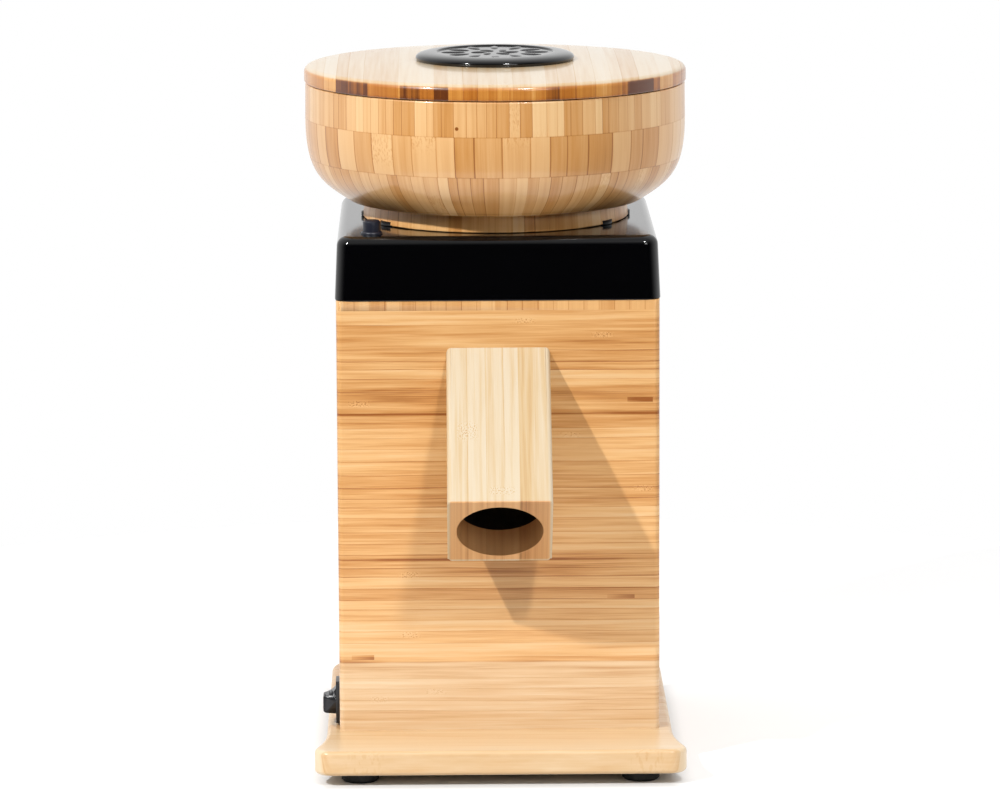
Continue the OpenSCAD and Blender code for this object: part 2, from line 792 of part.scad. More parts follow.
module motor_bottom_bell() color([0.66, 0.67, 0.69]) on_axis()
    translate([0, 0, z_can]) mirror([0, 0, 1]) end_bell();

module motor_can() color([0.35, 0.36, 0.38]) on_axis()
    translate([0, 0, z_can]) tube(motor_r, motor_r - 2.5, can_h);

module motor_bearings() color([0.78, 0.78, 0.8]) on_axis() {
    translate([0, 0, z_can_top]) bearing();
    translate([0, 0, z_can]) mirror([0, 0, 1]) bearing();
}

z_core = z_can + (can_h - core_h) / 2;

module stator_core() color([0.45, 0.46, 0.48]) on_axis() translate([0, 0, z_core]) difference() {
    cylinder(r = motor_r - 2.6, h = core_h);
    translate([0, 0, -1]) cylinder(r = core_r, h = core_h + 2);
    around(slot_n, slot_at, 15) translate([0, 0, core_h / 2])
        cube([slot_l, slot_w, core_h + 2], center = true);
}

module stator_windings() color([0.72, 0.40, 0.20]) on_axis() {
    for (z = [z_core + core_h, z_core]) {
        translate([0, 0, z]) mirror([0, 0, z == z_core ? 1 : 0]) rotate_extrude()
            polygon([[core_r + 2, 0], [coil_r, 0], [coil_r - 2, coil_h - 1], [core_r + 5, coil_h]]);
    }
    around(slot_n, slot_at, 15) translate([0, 0, z_core + core_h / 2])
        cube([slot_l - 2.4, slot_w - 0.4, core_h + 4], center = true);
}

module motor_shaft() color([0.82, 0.82, 0.84]) on_axis() {
    translate([0, 0, z_shaft]) cylinder(r = shaft_r, h = z_hub - z_shaft);
    translate([0, 0, z_hub - eps]) cylinder(r = shaft_r - 2, h = hub_t + stub_l);
}

module motor_rotor() color([0.55, 0.56, 0.58]) on_axis()
    translate([0, 0, z_core]) tube(core_r - air_gap, shaft_r, core_h);

module cooling_fan() color([0.18, 0.18, 0.20]) on_axis() translate([0, 0, z_fan]) difference() {
    union() {
        cylinder(r = shaft_r + 4, h = fan_h);
        translate([0, 0, fan_h - 2]) cylinder(r = fan_r, h = 2);
        around(fan_n, shaft_r + 3) rotate([0, 0, 20]) translate([0, -0.8, 0])
            cube([fan_r - shaft_r - 5, 1.6, fan_h]);
    }
    translate([0, 0, -1]) cylinder(r = shaft_r, h = fan_h + 2);
}

// ---- Stones ----

module stone_hub() color([0.75, 0.76, 0.78]) on_axis() difference() {
    translate([0, 0, z_hub]) cylinder(r = hub_r, h = hub_t);
    translate([0, 0, z_hub - 1]) cylinder(r = shaft_r - 2, h = hub_t + 2);
    around(2, drive_ring_r) translate([0, 0, z_hub - 1])
        cylinder(r = drive_pin_r + fit_gap, h = hub_t + 2);
}

module drive_pins() color([0.8, 0.8, 0.82]) on_axis() around(2, drive_ring_r)
    translate([0, 0, z_hub]) cylinder(r = drive_pin_r, h = hub_t + stone_t / 2 - 0.3);

module hub_nut() color([0.78, 0.78, 0.8]) on_axis() translate([0, 0, z_lower]) difference() {
    cylinder(r = shaft_r + 1.5, h = stub_l - 0.5, $fn = 6);
    translate([0, 0, -1]) cylinder(r = shaft_r - 2, h = stub_l + 2);
}

module sweeper() color([0.70, 0.71, 0.73]) on_axis() translate([0, 0, z_sweep]) difference() {
    union() {
        cylinder(r = stone_r + 1, h = plate_t);
        around(3, hub_r + 1) translate([0, -1.5, 0])
            cube([chamber_r - hub_r - 1.8, 3, hub_t + plate_t - 1]);
    }
    translate([0, 0, -1]) cylinder(r = shaft_r, h = plate_t + 2);
}

// The furrows of a stone's face: tangent to its eye, alternately long and short
module furrows() {
    for (i = [0 : furrow_n - 1]) {
        rotate([0, 0, i * 360 / furrow_n]) translate([eye_r - 1.5, i % 2 == 0 ? 0 : stone_r * 0.45, 0])
            rotate([0, 0, -12]) cube([2.4, stone_r * 1.2, furrow_d + 1]);
    }
}

module lower_stone() color([0.80, 0.78, 0.74]) on_axis() difference() {
    translate([0, 0, z_lower]) cylinder(r = stone_r, h = stone_t);
    translate([0, 0, z_lower - 1]) cylinder(r = eye_r, h = stone_t + 2);
    translate([0, 0, z_lower + stone_t - furrow_d]) furrows();
    around(2, drive_ring_r) translate([0, 0, z_lower - 1])
        cylinder(r = drive_pin_r + fit_gap, h = stone_t / 2 + 1);
}

module upper_stone() color([0.80, 0.78, 0.74]) on_axis() difference() {
    translate([0, 0, z_upper]) cylinder(r = stone_r, h = stone_t);
    translate([0, 0, z_upper - 1]) cylinder(r = eye_r + 1, h = stone_t + 2);
    translate([0, 0, z_upper + furrow_d]) mirror([0, 0, 1]) furrows();
}

module stone_carrier() color([0.72, 0.73, 0.75]) on_axis() difference() {
    translate([0, 0, z_carrier]) tube(neck_r - 0.5, stone_r + fit_gap, carrier_t);
    around(3, pin_ring_r, 90) translate([0, 0, z_carrier - 1])
        cylinder(r = pin_r + 0.25, h = carrier_t + 2);
}

// ---- Hopper ----

// An ear that stands out under the turning ring for the fingers, and the notch it lies in
module ears(grow) {
    for (a = ear_angles) {
        rotate([0, 0, a]) {
            translate([ear_reach, 0, z_ring]) cylinder(r = ear_r + grow, h = ear_t + grow);
            translate([rim_in, -ear_r / 2 - grow, z_ring])
                cube([ear_reach - rim_in, ear_r + 2 * grow, ear_t + grow]);
        }
    }
}

module hopper_collar() color([0.07, 0.07, 0.075]) on_axis() difference() {
    z_flange = z_bowl - collar_t;
    z_lip = z_bowl + bowl_floor - touch_gap;
    z_throat = z_skirt + 1;
    union() {
        rotate_extrude() polygon([
            [skirt_r, z_skirt], [skirt_r, z_flange], [rim_in, z_flange], [rim_in, z_ring],
            [collar_r, z_ring], [collar_r, z_bowl], [bowl_hole - 0.3, z_bowl],
            [bowl_hole - 0.3, z_lip], [bowl_hole - 2.8, z_lip], [throat_r, z_throat + 2],
            [throat_r, z_throat], [throat_r + 3, z_throat], [throat_r + 3, z_throat + 3],
            [throat_r + 20, z_flange], [skirt_in, z_flange], [skirt_in, z_skirt]
        ]);
        ears(0);
    }
    around(4, collar_screw_r, 20) screw_hole(z_flange - 1, collar_t + 2);
}

module collar_screws() color([0.75, 0.75, 0.77]) on_axis() around(4, collar_screw_r, 20)
    translate([0, 0, z_bowl - collar_t]) mirror([0, 0, 1])
        screw(wood_r, collar_t + collar_screw_l, 2.7, head_h);

module adjusting_ring() color([0.80, 0.60, 0.40]) on_axis() difference() {
    rotate_extrude() polygon([
        [collar_r + 0.2, z_ring], [ring_r - 0.6, z_ring], [ring_r, z_ring + 0.6],
        [ring_top_r, z_bowl], [collar_r + 0.2, z_bowl]
    ]);
    translate([0, 0, -eps]) ears(0.1);
}

function bowl_profile() = concat(
    [[bowl_hole, z_bowl]],
    bezier([bowl_foot_r, z_bowl],
           [bowl_foot_r + 0.64 * (bowl_r - bowl_foot_r), z_bowl + 0.154 * bowl_h],
           [bowl_r, z_bowl + 0.22 * bowl_h], [bowl_r, z_bowl + 0.692 * bowl_h], 12),
    [[bowl_r - 0.2, z_rim - 1.2], [bowl_r - 1.4, z_rim]],
    [[bowl_r - bowl_wall + 1, z_rim], [bowl_r - bowl_wall, z_rim - 1]],
    bezier([bowl_r - bowl_wall, z_bowl + 0.723 * bowl_h],
           [bowl_r - bowl_wall, z_bowl + 0.267 * bowl_h],
           [bowl_foot_r + 1, z_bowl + bowl_floor + 2], [bowl_hole, z_bowl + bowl_floor], 10)
);

module hopper_bowl() color([0.84, 0.63, 0.41]) on_axis() difference() {
    rotate_extrude($fn = 96) polygon(bowl_profile());
    around(4, collar_screw_r, 20) screw_hole(z_bowl - 1, collar_screw_l + 1.2);
}

// ---- Lid ----

module lid() color([0.92, 0.82, 0.69]) on_axis() difference() {
    r_in = bowl_r - bowl_wall - 1;
    rotate_extrude($fn = 96) polygon(concat(
        [[0, z_lid - lid_step], [r_in - 0.8, z_lid - lid_step], [r_in, z_lid - lid_step + 0.8],
         [r_in, z_lid], [lid_r - 1, z_lid], [lid_r, z_lid + 1]],
        bezier([lid_r, z_lid_edge - 3.5], [lid_r, z_lid_edge - 1.4], [lid_r - 1.6, z_lid_edge],
               [lid_r - 4, z_lid_edge + 0.1], 6),
        bezier([lid_r - 8, z_lid_edge + 0.35], [lid_r - 25, z_lid_edge + 0.6 * lid_crown],
               [knob_r + 15, z_knob], [knob_r + 1, z_knob], 5),
        [[0, z_knob]]
    ));
    translate([0, 0, z_lid - lid_step - 1]) cylinder(r = head_r + 0.3, h = sink + 1);
    screw_hole(z_lid - lid_step, lid_h + lid_step + lid_crown + 1);
}

module lid_knob() color([0.05, 0.05, 0.05]) on_axis() translate([0, 0, z_knob]) difference() {
    face_r = knob_r - knob_shoulder;
    rotate_extrude($fn = 96) polygon(concat(
        [[0, 0], [knob_r - 0.6, 0], [knob_r, 0.6]],
        bezier([knob_r, 0.3 * knob_h], [knob_r, 0.85 * knob_h], [face_r + 6, knob_h], [face_r, knob_h], 8),
        [[face_r - 0.8, knob_h - 0.7], [0, knob_h - 0.7]]
    ));
    screw_hole(-1, 3.2);
}

module lid_screw() color([0.75, 0.75, 0.77]) on_axis()
    translate([0, 0, z_lid - lid_step + sink]) mirror([0, 0, 1])
        screw(wood_r, lid_h + lid_crown + lid_step - sink + 2, head_r, head_h);

// ---- Switch ----

module at_switch() {
    translate([-body_hw, switch_y, z_switch]) children();
}

// A box from x0 inwards, centred on the switch
module switch_box(x0, l, w, h) {
    translate([x0, -w / 2, -h / 2]) cube([l, w, h]);
}

module switch_body() color([0.09, 0.09, 0.10]) on_axis() at_switch() {
    difference() {
        union() {
            translate([-bezel_t, 0, 0]) rotate([0, 90, 0]) linear_extrude(height = bezel_t)
                rounded_rect(bezel_h, bezel_w, 1);
            switch_box(-eps, panel_t + 12, cut_w, cut_h);
        }
        switch_box(-bezel_t - 1, 12, well_w, well_h);
        translate([pivot_in - bezel_t, -rocker_w / 2 - 0.8, pivot_up]) rotate([-90, 0, 0])
            cylinder(r = 1 + run_gap, h = rocker_w + 1.6);
    }
    for (z = [-5, 0, 5]) {
        translate([panel_t + 12, -2.4, z - 0.4]) cube([7, 4.8, 0.8]);
    }
}

// The rocker in section: outwards is +X here, up is +Y
function rocker_profile() = concat(
    [[-1.5, -6.4], [0, -6.5], [5.6, -6.1], [6.6, -5.4], [6.9, -4.4], [6.9, 2.3], [6.6, 2.9]],
    bezier([6.6, 2.9], [3.4, 3.6], [1.2, 5.2], [0.1, 7.3], 6),
    [[-1.5, 7.3]]
);

module rocker() color([0.10, 0.10, 0.11]) on_axis() at_switch() {
    difference() {
        union() {
            translate([pivot_in - bezel_t, -rocker_w / 2, pivot_up]) rotate([-90, 0, 0])
                cylinder(r = 7.2, h = rocker_w);
            translate([-bezel_t, rocker_w / 2, 0]) rotate([90, 0, 0]) mirror([1, 0, 0])
                linear_extrude(height = rocker_w) polygon(rocker_profile());
        }
        difference() {
            switch_box(-bezel_t - 20, 20.2, 2 * rocker_w, 2 * bezel_h);
            translate([-bezel_t, rocker_w, 0]) rotate([90, 0, 0]) mirror([1, 0, 0])
                linear_extrude(height = 2 * rocker_w) polygon(rocker_profile());
        }
    }
    translate([pivot_in - bezel_t, -rocker_w / 2 - 0.7, pivot_up]) rotate([-90, 0, 0])
        cylinder(r = 1, h = rocker_w + 1.4);
}

// ---- Cord gland, capacitor and terminals ----

gland_body_r = 6;
gland_flange_r = 9;
gland_x = -(inner_hw - 13.7);
z_gland = z_floor + 24;

module at_gland() {
    translate([gland_x, body_hw, z_gland]) rotate([-90, 0, 0]) children();
}

module cord_gland() color([0.10, 0.10, 0.11]) on_axis() at_gland() difference() {
    union() {
        cylinder(r = gland_flange_r, h = 4);
        cylinder(r = gland_body_r + 0.5, h = 11);
        translate([0, 0, -panel_t - 8]) cylinder(r = gland_body_r, h = panel_t + 9);
    }
    translate([0, 0, -panel_t - 9]) cylinder(d = gland_bore, h = panel_t + 24);
}

module gland_nut() color([0.12, 0.12, 0.13]) on_axis() at_gland()
    translate([0, 0, -panel_t - 5]) difference() {
        cylinder(r = gland_body_r + 4, h = 5, $fn = 6);
        translate([0, 0, -1]) cylinder(r = gland_body_r + fit_gap, h = 7);
    }

cap_r = 17;
cap_h = 56;
clip_h = 16;
cap_at = inner_hw - cap_r - 5;

module at_capacitor() {
    translate([cap_at, cap_at, z_floor]) children();
}

module capacitor() color([0.80, 0.80, 0.82]) on_axis() at_capacitor() {
    translate([0, 0, 2]) cylinder(r = cap_r, h = cap_h);
    for (side = [-1, 1]) {
        translate([side * 6, 0, cap_h + 5]) cube([0.8, 6, 8], center = true);
    }
}

module capacitor_clip() color([0.7, 0.7, 0.72]) on_axis() at_capacitor() {
    cylinder(r = cap_r + 3, h = 2);
    difference() {
        tube(cap_r + 1.4, cap_r + fit_gap, clip_h);
        translate([0, -4, 2.01]) cube([cap_r * 2, 8, 20]);
    }
}

block_l = 44;
block_w = 18;
block_h = 14;
poles = 4;
block_y = inner_hw - 14.7 - block_w / 2;

module terminal_block() color([0.88, 0.88, 0.85]) on_axis() difference() {
    pitch = block_l / (poles + 0.2);
    translate([-block_l - 2, block_y, z_floor]) {
        translate([0, -block_w / 2, 0]) cube([block_l, block_w, block_h - 6]);
        translate([0, -block_w / 4, 0]) cube([block_l, block_w / 2, block_h]);
    }
    for (i = [0 : poles - 1]) {
        translate([-2 - block_l / 2 + (i - (poles - 1) / 2) * pitch, block_y, z_floor]) {
            translate([0, 0, block_h - 3]) cube([6, block_w, 4], center = true);
            translate([0, 0, block_h - 6]) cube([4, block_w + 2, 3], center = true);
        }
    }
}

base_board();
rubber_feet();
foot_screws();
base_screws();
front_panel();
back_panel();
left_panel();
right_panel();
corner_blocks();
top_deck();
deck_screws();
spout_block();
spout_screws();
chute();
top_cover();
cover_screws();
overload_breaker();
reset_button();
reset_spring();
mill_chamber();
chamber_screws();
guide_pins();
stone_springs();
shaft_seal();
chamber_bearing();
motor_bracket();
bracket_screws();
motor_screws();
motor_top_bell();
motor_bottom_bell();
motor_can();
motor_bearings();
stator_core();
stator_windings();
motor_shaft();
motor_rotor();
cooling_fan();
stone_hub();
drive_pins();
hub_nut();
sweeper();
lower_stone();
upper_stone();
stone_carrier();
hopper_collar();
collar_screws();
adjusting_ring();
hopper_bowl();
lid();
lid_knob();
lid_screw();
switch_body();
rocker();
cord_gland();
gland_nut();
capacitor();
capacitor_clip();
terminal_block();
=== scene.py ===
# %% [markdown]
# # A stone grain mill in bamboo, dressed for its portrait
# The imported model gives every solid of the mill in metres, in one shared frame. This lesson
# adds what a solid model can't hold: laminated bamboo, gloss plastic, cast metal, turned
# surfaces that shade smoothly, and the light of a small photo studio.
# Sizes in the cells below are written in millimetres and turned into metres by one helper.

# %% Load the frame
import bpy, bmesh, json, math
from mathutils import Matrix, Vector

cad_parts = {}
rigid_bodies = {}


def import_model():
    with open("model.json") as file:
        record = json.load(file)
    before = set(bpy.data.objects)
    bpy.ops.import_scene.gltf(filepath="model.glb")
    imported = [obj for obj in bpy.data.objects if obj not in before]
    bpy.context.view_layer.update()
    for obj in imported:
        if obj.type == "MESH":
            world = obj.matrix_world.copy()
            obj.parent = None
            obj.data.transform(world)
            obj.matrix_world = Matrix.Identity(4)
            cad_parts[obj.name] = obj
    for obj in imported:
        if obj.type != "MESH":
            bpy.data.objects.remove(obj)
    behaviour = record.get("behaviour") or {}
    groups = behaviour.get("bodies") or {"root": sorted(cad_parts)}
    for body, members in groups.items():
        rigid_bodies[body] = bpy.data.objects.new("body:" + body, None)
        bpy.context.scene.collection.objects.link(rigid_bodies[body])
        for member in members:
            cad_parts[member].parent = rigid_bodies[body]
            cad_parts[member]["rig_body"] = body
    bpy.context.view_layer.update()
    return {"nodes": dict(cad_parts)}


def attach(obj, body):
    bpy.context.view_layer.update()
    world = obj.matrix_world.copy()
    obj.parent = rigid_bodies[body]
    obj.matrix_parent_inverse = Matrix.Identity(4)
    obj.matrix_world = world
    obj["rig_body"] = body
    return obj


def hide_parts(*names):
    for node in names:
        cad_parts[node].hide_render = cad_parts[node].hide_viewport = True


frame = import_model()
NODES = frame["nodes"]
MM = 0.001
AXIS_Y = 26.15          # the stones turn round X = 0, Y = 26.15


def mm(x, y, z):
    """A point given from the mill's own axis, in millimetres, as a point of the frame."""
    return Vector((x * MM, (y + AXIS_Y) * MM, z * MM))


# %% [markdown]
# ## The camera
# A product photographer stands back and uses a long lens, so that a box keeps its upright
# edges parallel. The camera's place, tilt and lens come from fitting the mill's known corners
# to their places in the picture, so it is written as a place and three directions. A camera
# matrix takes those directions as columns, which is plainer than guessing three angles.

# %% Set up the camera
SENSOR_WIDTH = 36.0          # millimetres
PICTURE_WIDTH = 1000         # pixels
FOCAL_LENGTH = 5319.18       # pixels


def in_scene(name, data):
    """A new object at the origin, in the scene."""
    thing = bpy.data.objects.new(name, data)
    bpy.context.scene.collection.objects.link(thing)
    return thing


camera_data = bpy.data.cameras.new("portrait_camera")
camera_data.sensor_width = SENSOR_WIDTH
camera_data.lens = FOCAL_LENGTH / PICTURE_WIDTH * SENSOR_WIDTH
camera_data.clip_start, camera_data.clip_end = 0.1, 50.0
camera = in_scene("portrait_camera", camera_data)
right = (0.99990774, -0.01282717, -0.00446945)
upward = (0.00662036, 0.17289164, 0.9849186)
backward = (-0.01186099, -0.98485732, 0.17296061)
place = mm(-32.55, -2863.86, 686.73)
camera.matrix_world = Matrix((*zip(right, upward, backward, place), (0, 0, 0, 1)))
bpy.context.scene.camera = camera
bpy.context.scene.view_settings.view_transform = "Standard"
print("camera at", [round(v, 3) for v in place], "lens", round(camera_data.lens, 1), "mm")

# %% [markdown]
# ## Writing node sums as Python
# A wood shader is mostly arithmetic: how far across a strip, how far along a fibre. Wiring that
# by hand takes dozens of Math nodes. A small class that wraps one socket and overloads the
# operators lets the sum be read as a sum, while Blender still gets ordinary nodes. The
# Geometry Nodes trees and the sky further down use the same class.

# %% A number that comes out of a node
def maths(operation):
    """A method that adds one Math node."""
    def method(self, *others):
        sockets = {f"_{i}": value for i, value in enumerate((self, *others))}
        return self.tree.node("ShaderNodeMath", {"operation": operation}, **sockets)
    return method


class Value:
    """A number on a node's output. Sums on it add Math nodes to the same tree."""

    def __init__(self, tree, socket):
        self.tree, self.socket = tree, socket

    __add__ = __radd__ = maths("ADD")
    __mul__ = __rmul__ = maths("MULTIPLY")
    __sub__, __truediv__ = maths("SUBTRACT"), maths("DIVIDE")
    abs, fraction, root = maths("ABSOLUTE"), maths("FRACT"), maths("SQRT")
    whole, cosine, sine, angle = maths("ROUND"), maths("COSINE"), maths("SINE"), maths("ARCTAN2")
    above, below = maths("GREATER_THAN"), maths("LESS_THAN")
    least, most = maths("MINIMUM"), maths("MAXIMUM")

    def __neg__(self):
        return self * -1.0

    def __rsub__(self, other):
        return -self + other

    def __rtruediv__(self, other):
        return self.tree.node("ShaderNodeMath", {"operation": "DIVIDE"}, _0=other, _1=self)

    def clamp(self):
        return self.most(0.0).least(1.0)

    def fade(self, start, end, full=1.0):
        """0 at start and full at end, with a soft change between them."""
        return self.tree.node("ShaderNodeMapRange", {"interpolation_type": "SMOOTHSTEP"},
                              Value=self, _1=start, _2=end, _4=full)

    def near(self, place, close, far):
        """1 closer to a place than close, and 0 farther from it than far."""
        return 1 - (self - place).abs().fade(close, far)


print("node sums ready")

# %% [markdown]
# ## One builder for every tree and finish
# Any node is added by one call that takes its kind, its settings and what goes into its
# sockets. A finish is a Principled surface whose colour, roughness and bump come from nodes,
# and it gives positions in millimetres from the mill's axis. Object coordinates are used
# because every finished piece keeps its place in its mesh: the pattern then stays on the piece
# in every pose.

# %% The tree and finish builders
def srgb(red, green, blue):
    """A colour picked on a screen, 0 to 255, as the linear values a shader needs."""
    def linear(c):
        c = c / 255
        return c / 12.92 if c <= 0.04045 else ((c + 0.055) / 1.055) ** 2.4
    return (linear(red), linear(green), linear(blue), 1.0)


def lit(level, *colours):
    """The colours of surfaces that look like these under light of this level."""
    return [tuple(c / level for c in srgb(*colour)[:3]) + (1.0,) for colour in colours]


class Tree:
    """A node tree in the making."""

    def __init__(self, tree):
        self.tree = tree

    def wire(self, value, socket):
        """Gives a socket a value, or a link from another node."""
        if isinstance(value, Value):
            value = value.socket
        if isinstance(value, bpy.types.NodeSocket):
            self.tree.links.new(value, socket)
        else:
            socket.default_value = value

    def node(self, kind, settings=None, out=0, **inputs):
        """Adds one node: its settings first, then the values or links of its sockets."""
        node = self.tree.nodes.new(kind)
        for key, value in (settings or {}).items():
            if key == "stops":
                ramp = node.color_ramp
                while len(ramp.elements) > 1:
                    ramp.elements.remove(ramp.elements[-1])
                ramp.elements[0].position, ramp.elements[0].color = value[0]
                for position, colour in value[1:]:
                    ramp.elements.new(position).color = colour
            else:
                setattr(node, key, value)
        for key, value in inputs.items():
            self.wire(value, node.inputs[int(key[1:]) if key[0] == "_" else key.replace("_", " ")])
        result = node.outputs[out]
        return Value(self, result) if result.type in ("VALUE", "INT") else result

    def point(self, x, y, z):
        return self.node("ShaderNodeCombineXYZ", X=x, Y=y, Z=z)

    def split(self, vector):
        return [self.node("ShaderNodeSeparateXYZ", out=i, Vector=vector) for i in range(3)]


class Finish(Tree):
    """A material in the making."""

    def __init__(self, name, **sockets):
        self.material = bpy.data.materials.new(name)
        self.material.use_nodes = True
        super().__init__(self.material.node_tree)
        self.surface = self.tree.nodes["Principled BSDF"].inputs
        for socket, value in sockets.items():
            self.surface[socket.replace("_", " ")].default_value = value

    def position(self):
        """Where the surface is, in millimetres from the mill's axis."""
        x, y, z = self.split(self.node("ShaderNodeTexCoord", out="Object"))
        return x * 1000, y * 1000 - AXIS_Y, z * 1000

    def noise(self, point, detail=2.0, rough=0.5):
        return self.node("ShaderNodeTexNoise", out="Fac", Vector=point, Scale=1.0,
                         Detail=detail, Roughness=rough)

    def ramp(self, value, stops):
        return self.node("ShaderNodeValToRGB", {"stops": stops}, Fac=value)

    def blend(self, amount, one, other):
        """Two colours mixed by a number."""
        return self.node("ShaderNodeMix", {"data_type": "RGBA"}, out=2, _0=amount, _6=one, _7=other)

    def done(self, colour, roughness=None, height=None, depth=None):
        self.wire(colour, self.surface["Base Color"])
        if roughness is not None:
            self.wire(roughness, self.surface["Roughness"])
        if height is not None:
            bump = self.node("ShaderNodeBump", out="Normal", Strength=0.6, Distance=depth, Height=height)
            self.wire(bump, self.surface["Normal"])
        return self.material


print("builders ready; mid brown is", [round(c, 3) for c in srgb(205, 144, 80)])

# %% [markdown]
# ## Laminated bamboo
# Bamboo board is glued up from narrow strips of split cane. Each strip has its own tone, fine
# fibres run along it, dark glue lines part some strips, and every hand or two a knuckle of the
# cane crosses it as a pale band with dark flecks. A photo of wood would fix one board on all
# pieces; strips made from cells of a one-dimensional Voronoi pattern can follow any piece,
# and the same sum serves the flat panels and the turned hopper.

# %% The bamboo finish
LONG = 0.012          # a streak changes this slowly along the fibres
TONE_STOPS = (0.0, 0.3, 0.6, 1.0)
WARM = (lit(1.2, (156, 90, 36), (210, 150, 86)) + lit(1.23, (236, 184, 122))
        + lit(1.28, (248, 212, 162)))


def bamboo(name, lie, seed, strip=6.2, tones=WARM, spread=0.4, seam=0.3, knuckle=0.3, fibre=1.0,
           extra=None, second=None, wander=0.3, coat=0.25, gloss=0.22, lines=0.2):
    """lie takes (x, y, z) in millimetres and gives (across the strips, along the fibres).

    extra may change the tone by place. second is a mask by place and the tones used there."""
    f = Finish(name, Coat_Weight=coat, Coat_Roughness=gloss, Specular_IOR_Level=0.45)
    x, y, z = f.position()
    across, along = lie(x, y, z)
    cell = across / strip + f.noise(f.point(along * LONG, across * 0.02, seed), 1.0) * wander + seed

    def cells(feature, out):
        return f.node("ShaderNodeTexVoronoi", {"voronoi_dimensions": "1D", "feature": feature},
                      out=out, W=cell, Scale=1.0, Randomness=0.9)
    tint, edge = cells("F1", "Color"), cells("DISTANCE_TO_EDGE", "Distance")
    own = [f.node("ShaderNodeSeparateColor", out=i, Color=tint) for i in range(3)]
    streak = f.noise(f.point(along * LONG + own[1] * 40, across * 0.4, seed + 2.0), 2.0, 0.5)
    fine = f.noise(f.point(along * 0.04 + own[2] * 30, across * 2.2, seed + 5.0), 3.0, 0.6)
    gap = (along / 150 + own[1] * 3 + seed).fraction() - 0.5
    band = (1 - gap.abs().fade(0.02, 0.09)) * own[0].above(0.5)
    fleck = f.noise(f.point(along * 0.5, across * 1.7, seed + 9.0), 2.0).fade(0.5, 0.6)
    glue = (1 - (edge * strip).fade(0.0, 0.45)) * own[2].fade(lines, lines + 0.5)
    tone = (0.52 + (own[0] - 0.5) * spread + (streak - 0.5) * (0.7 * fibre)
            + (fine - 0.5) * (0.4 * fibre) + band * (0.3 - fleck) * knuckle - glue * seam)
    if extra is not None:
        tone = extra(f, tone, x, y, z, own)
    colour = f.ramp(tone.clamp(), list(zip(TONE_STOPS, tones)))
    if second is not None:
        mask, other_tones = second
        colour = f.blend(mask(x, y, z), colour, f.ramp(tone.clamp(), list(zip(TONE_STOPS, other_tones))))
    return f.done(colour, (0.36 + (fine - 0.5) * 0.16 + glue * 0.15).clamp(),
                  streak * 0.25 + fine * 0.35 - glue * 0.8 - band * fleck * 0.3, 0.00012)


print("bamboo finish ready")

# %% [markdown]
# ## Which way the strips lie
# A joiner turns the grain to suit each piece. On the panels the strips lie level; on the base
# board they run from side to side; on the deck, the lid and the spout they run front to back,
# so their front edges show as short blocks; on the hopper they stand upright like the staves
# of a barrel, in three courses of stacked rings.

# %% Lies of the grain
COURSES = (297.6, 319.2, 340.8)
SLANT = 0.7071          # the spout goes down at 45 degrees
BOWL_BELLY, RING_SIDE = 98.0, 71.0          # where a stave's width is measured


def level_strips(x, y, z):
    return z, x + y * 0.999


def side_strips(x, y, z):
    return z, y + x * 0.2


def cross_board(x, y, z):
    return y - z * 0.1, x


def front_to_back(x, y, z):
    return x, y


def diagonal(x, y, z):
    return x + y, z


def down_the_spout(x, y, z):
    return x, (-y - z) * SLANT


def staves(x, y, z):
    """Narrow staves in the upper course, wider ones in the middle, and each course shifted."""
    turn = x.angle(-y) * BOWL_BELLY
    middle, upper = z.above(COURSES[1]), z.above(COURSES[2])
    width = 1.2 - middle * 0.52 + upper * 0.82
    return turn * width + middle * 811.3 + upper * 377.7 + z * 0.01, z


def ring_staves(x, y, z):
    return x.angle(-y) * RING_SIDE, z


print("courses of staves at", COURSES)

# %% [markdown]
# ## Marks on single boards
# No two boards are alike, and a few marks are what the eye remembers: a peg of filler, a dark
# strip, a knuckle. Each mark is a mask made of soft steps on the position, and it lightens or
# darkens the tone before the tone becomes a colour. So a mark is always a colour of the wood,
# though some marks are painted light and painted shade, and their comments say so.

# %% Marks on the front panel
PANEL_KNUCKLES = ((14.1, 241.4), (55.3, 233.5), (-73.9, 197.1), (-47.8, 104.4), (-47.8, 71.7),
                  (-34.4, 40.6), (-64.3, 36.4), (77.1, 150.8), (38.2, 179.7))
PEGS = ((-79, -67.0, 58.2, 60.8, 0.5), (68.5, 82, 197.4, 200, 0.5), (57.7, 72.3, 91.0, 93.0, 0.3))
DARK_STRIPS = ((189.5, 194, 1.5, 0.26), (197.5, 206, 1.5, 0.2), (109.5, 114.5, 1, 0.22))
PANEL_SEAMS = ((191.4, 0.3), (112.7, 0.42), (56.8, 0.22))


def knuckles(f, tone, across, along, spots, depth):
    """Knuckles of the cane at chosen spots: paler, with dark flecks.

    A spot is its middle across and along the fibres, and its half sizes, in millimetres."""
    inside = 0.0
    for middle, place, half, reach in spots:
        inside = inside + across.near(middle, half * 0.5, half) * along.near(place, reach * 0.3, reach)
    fleck = f.noise(f.point(along * 1.1, across * 1.9, 6.0), 2.0).fade(0.5, 0.66)
    return tone + inside * (0.12 - fleck * depth)


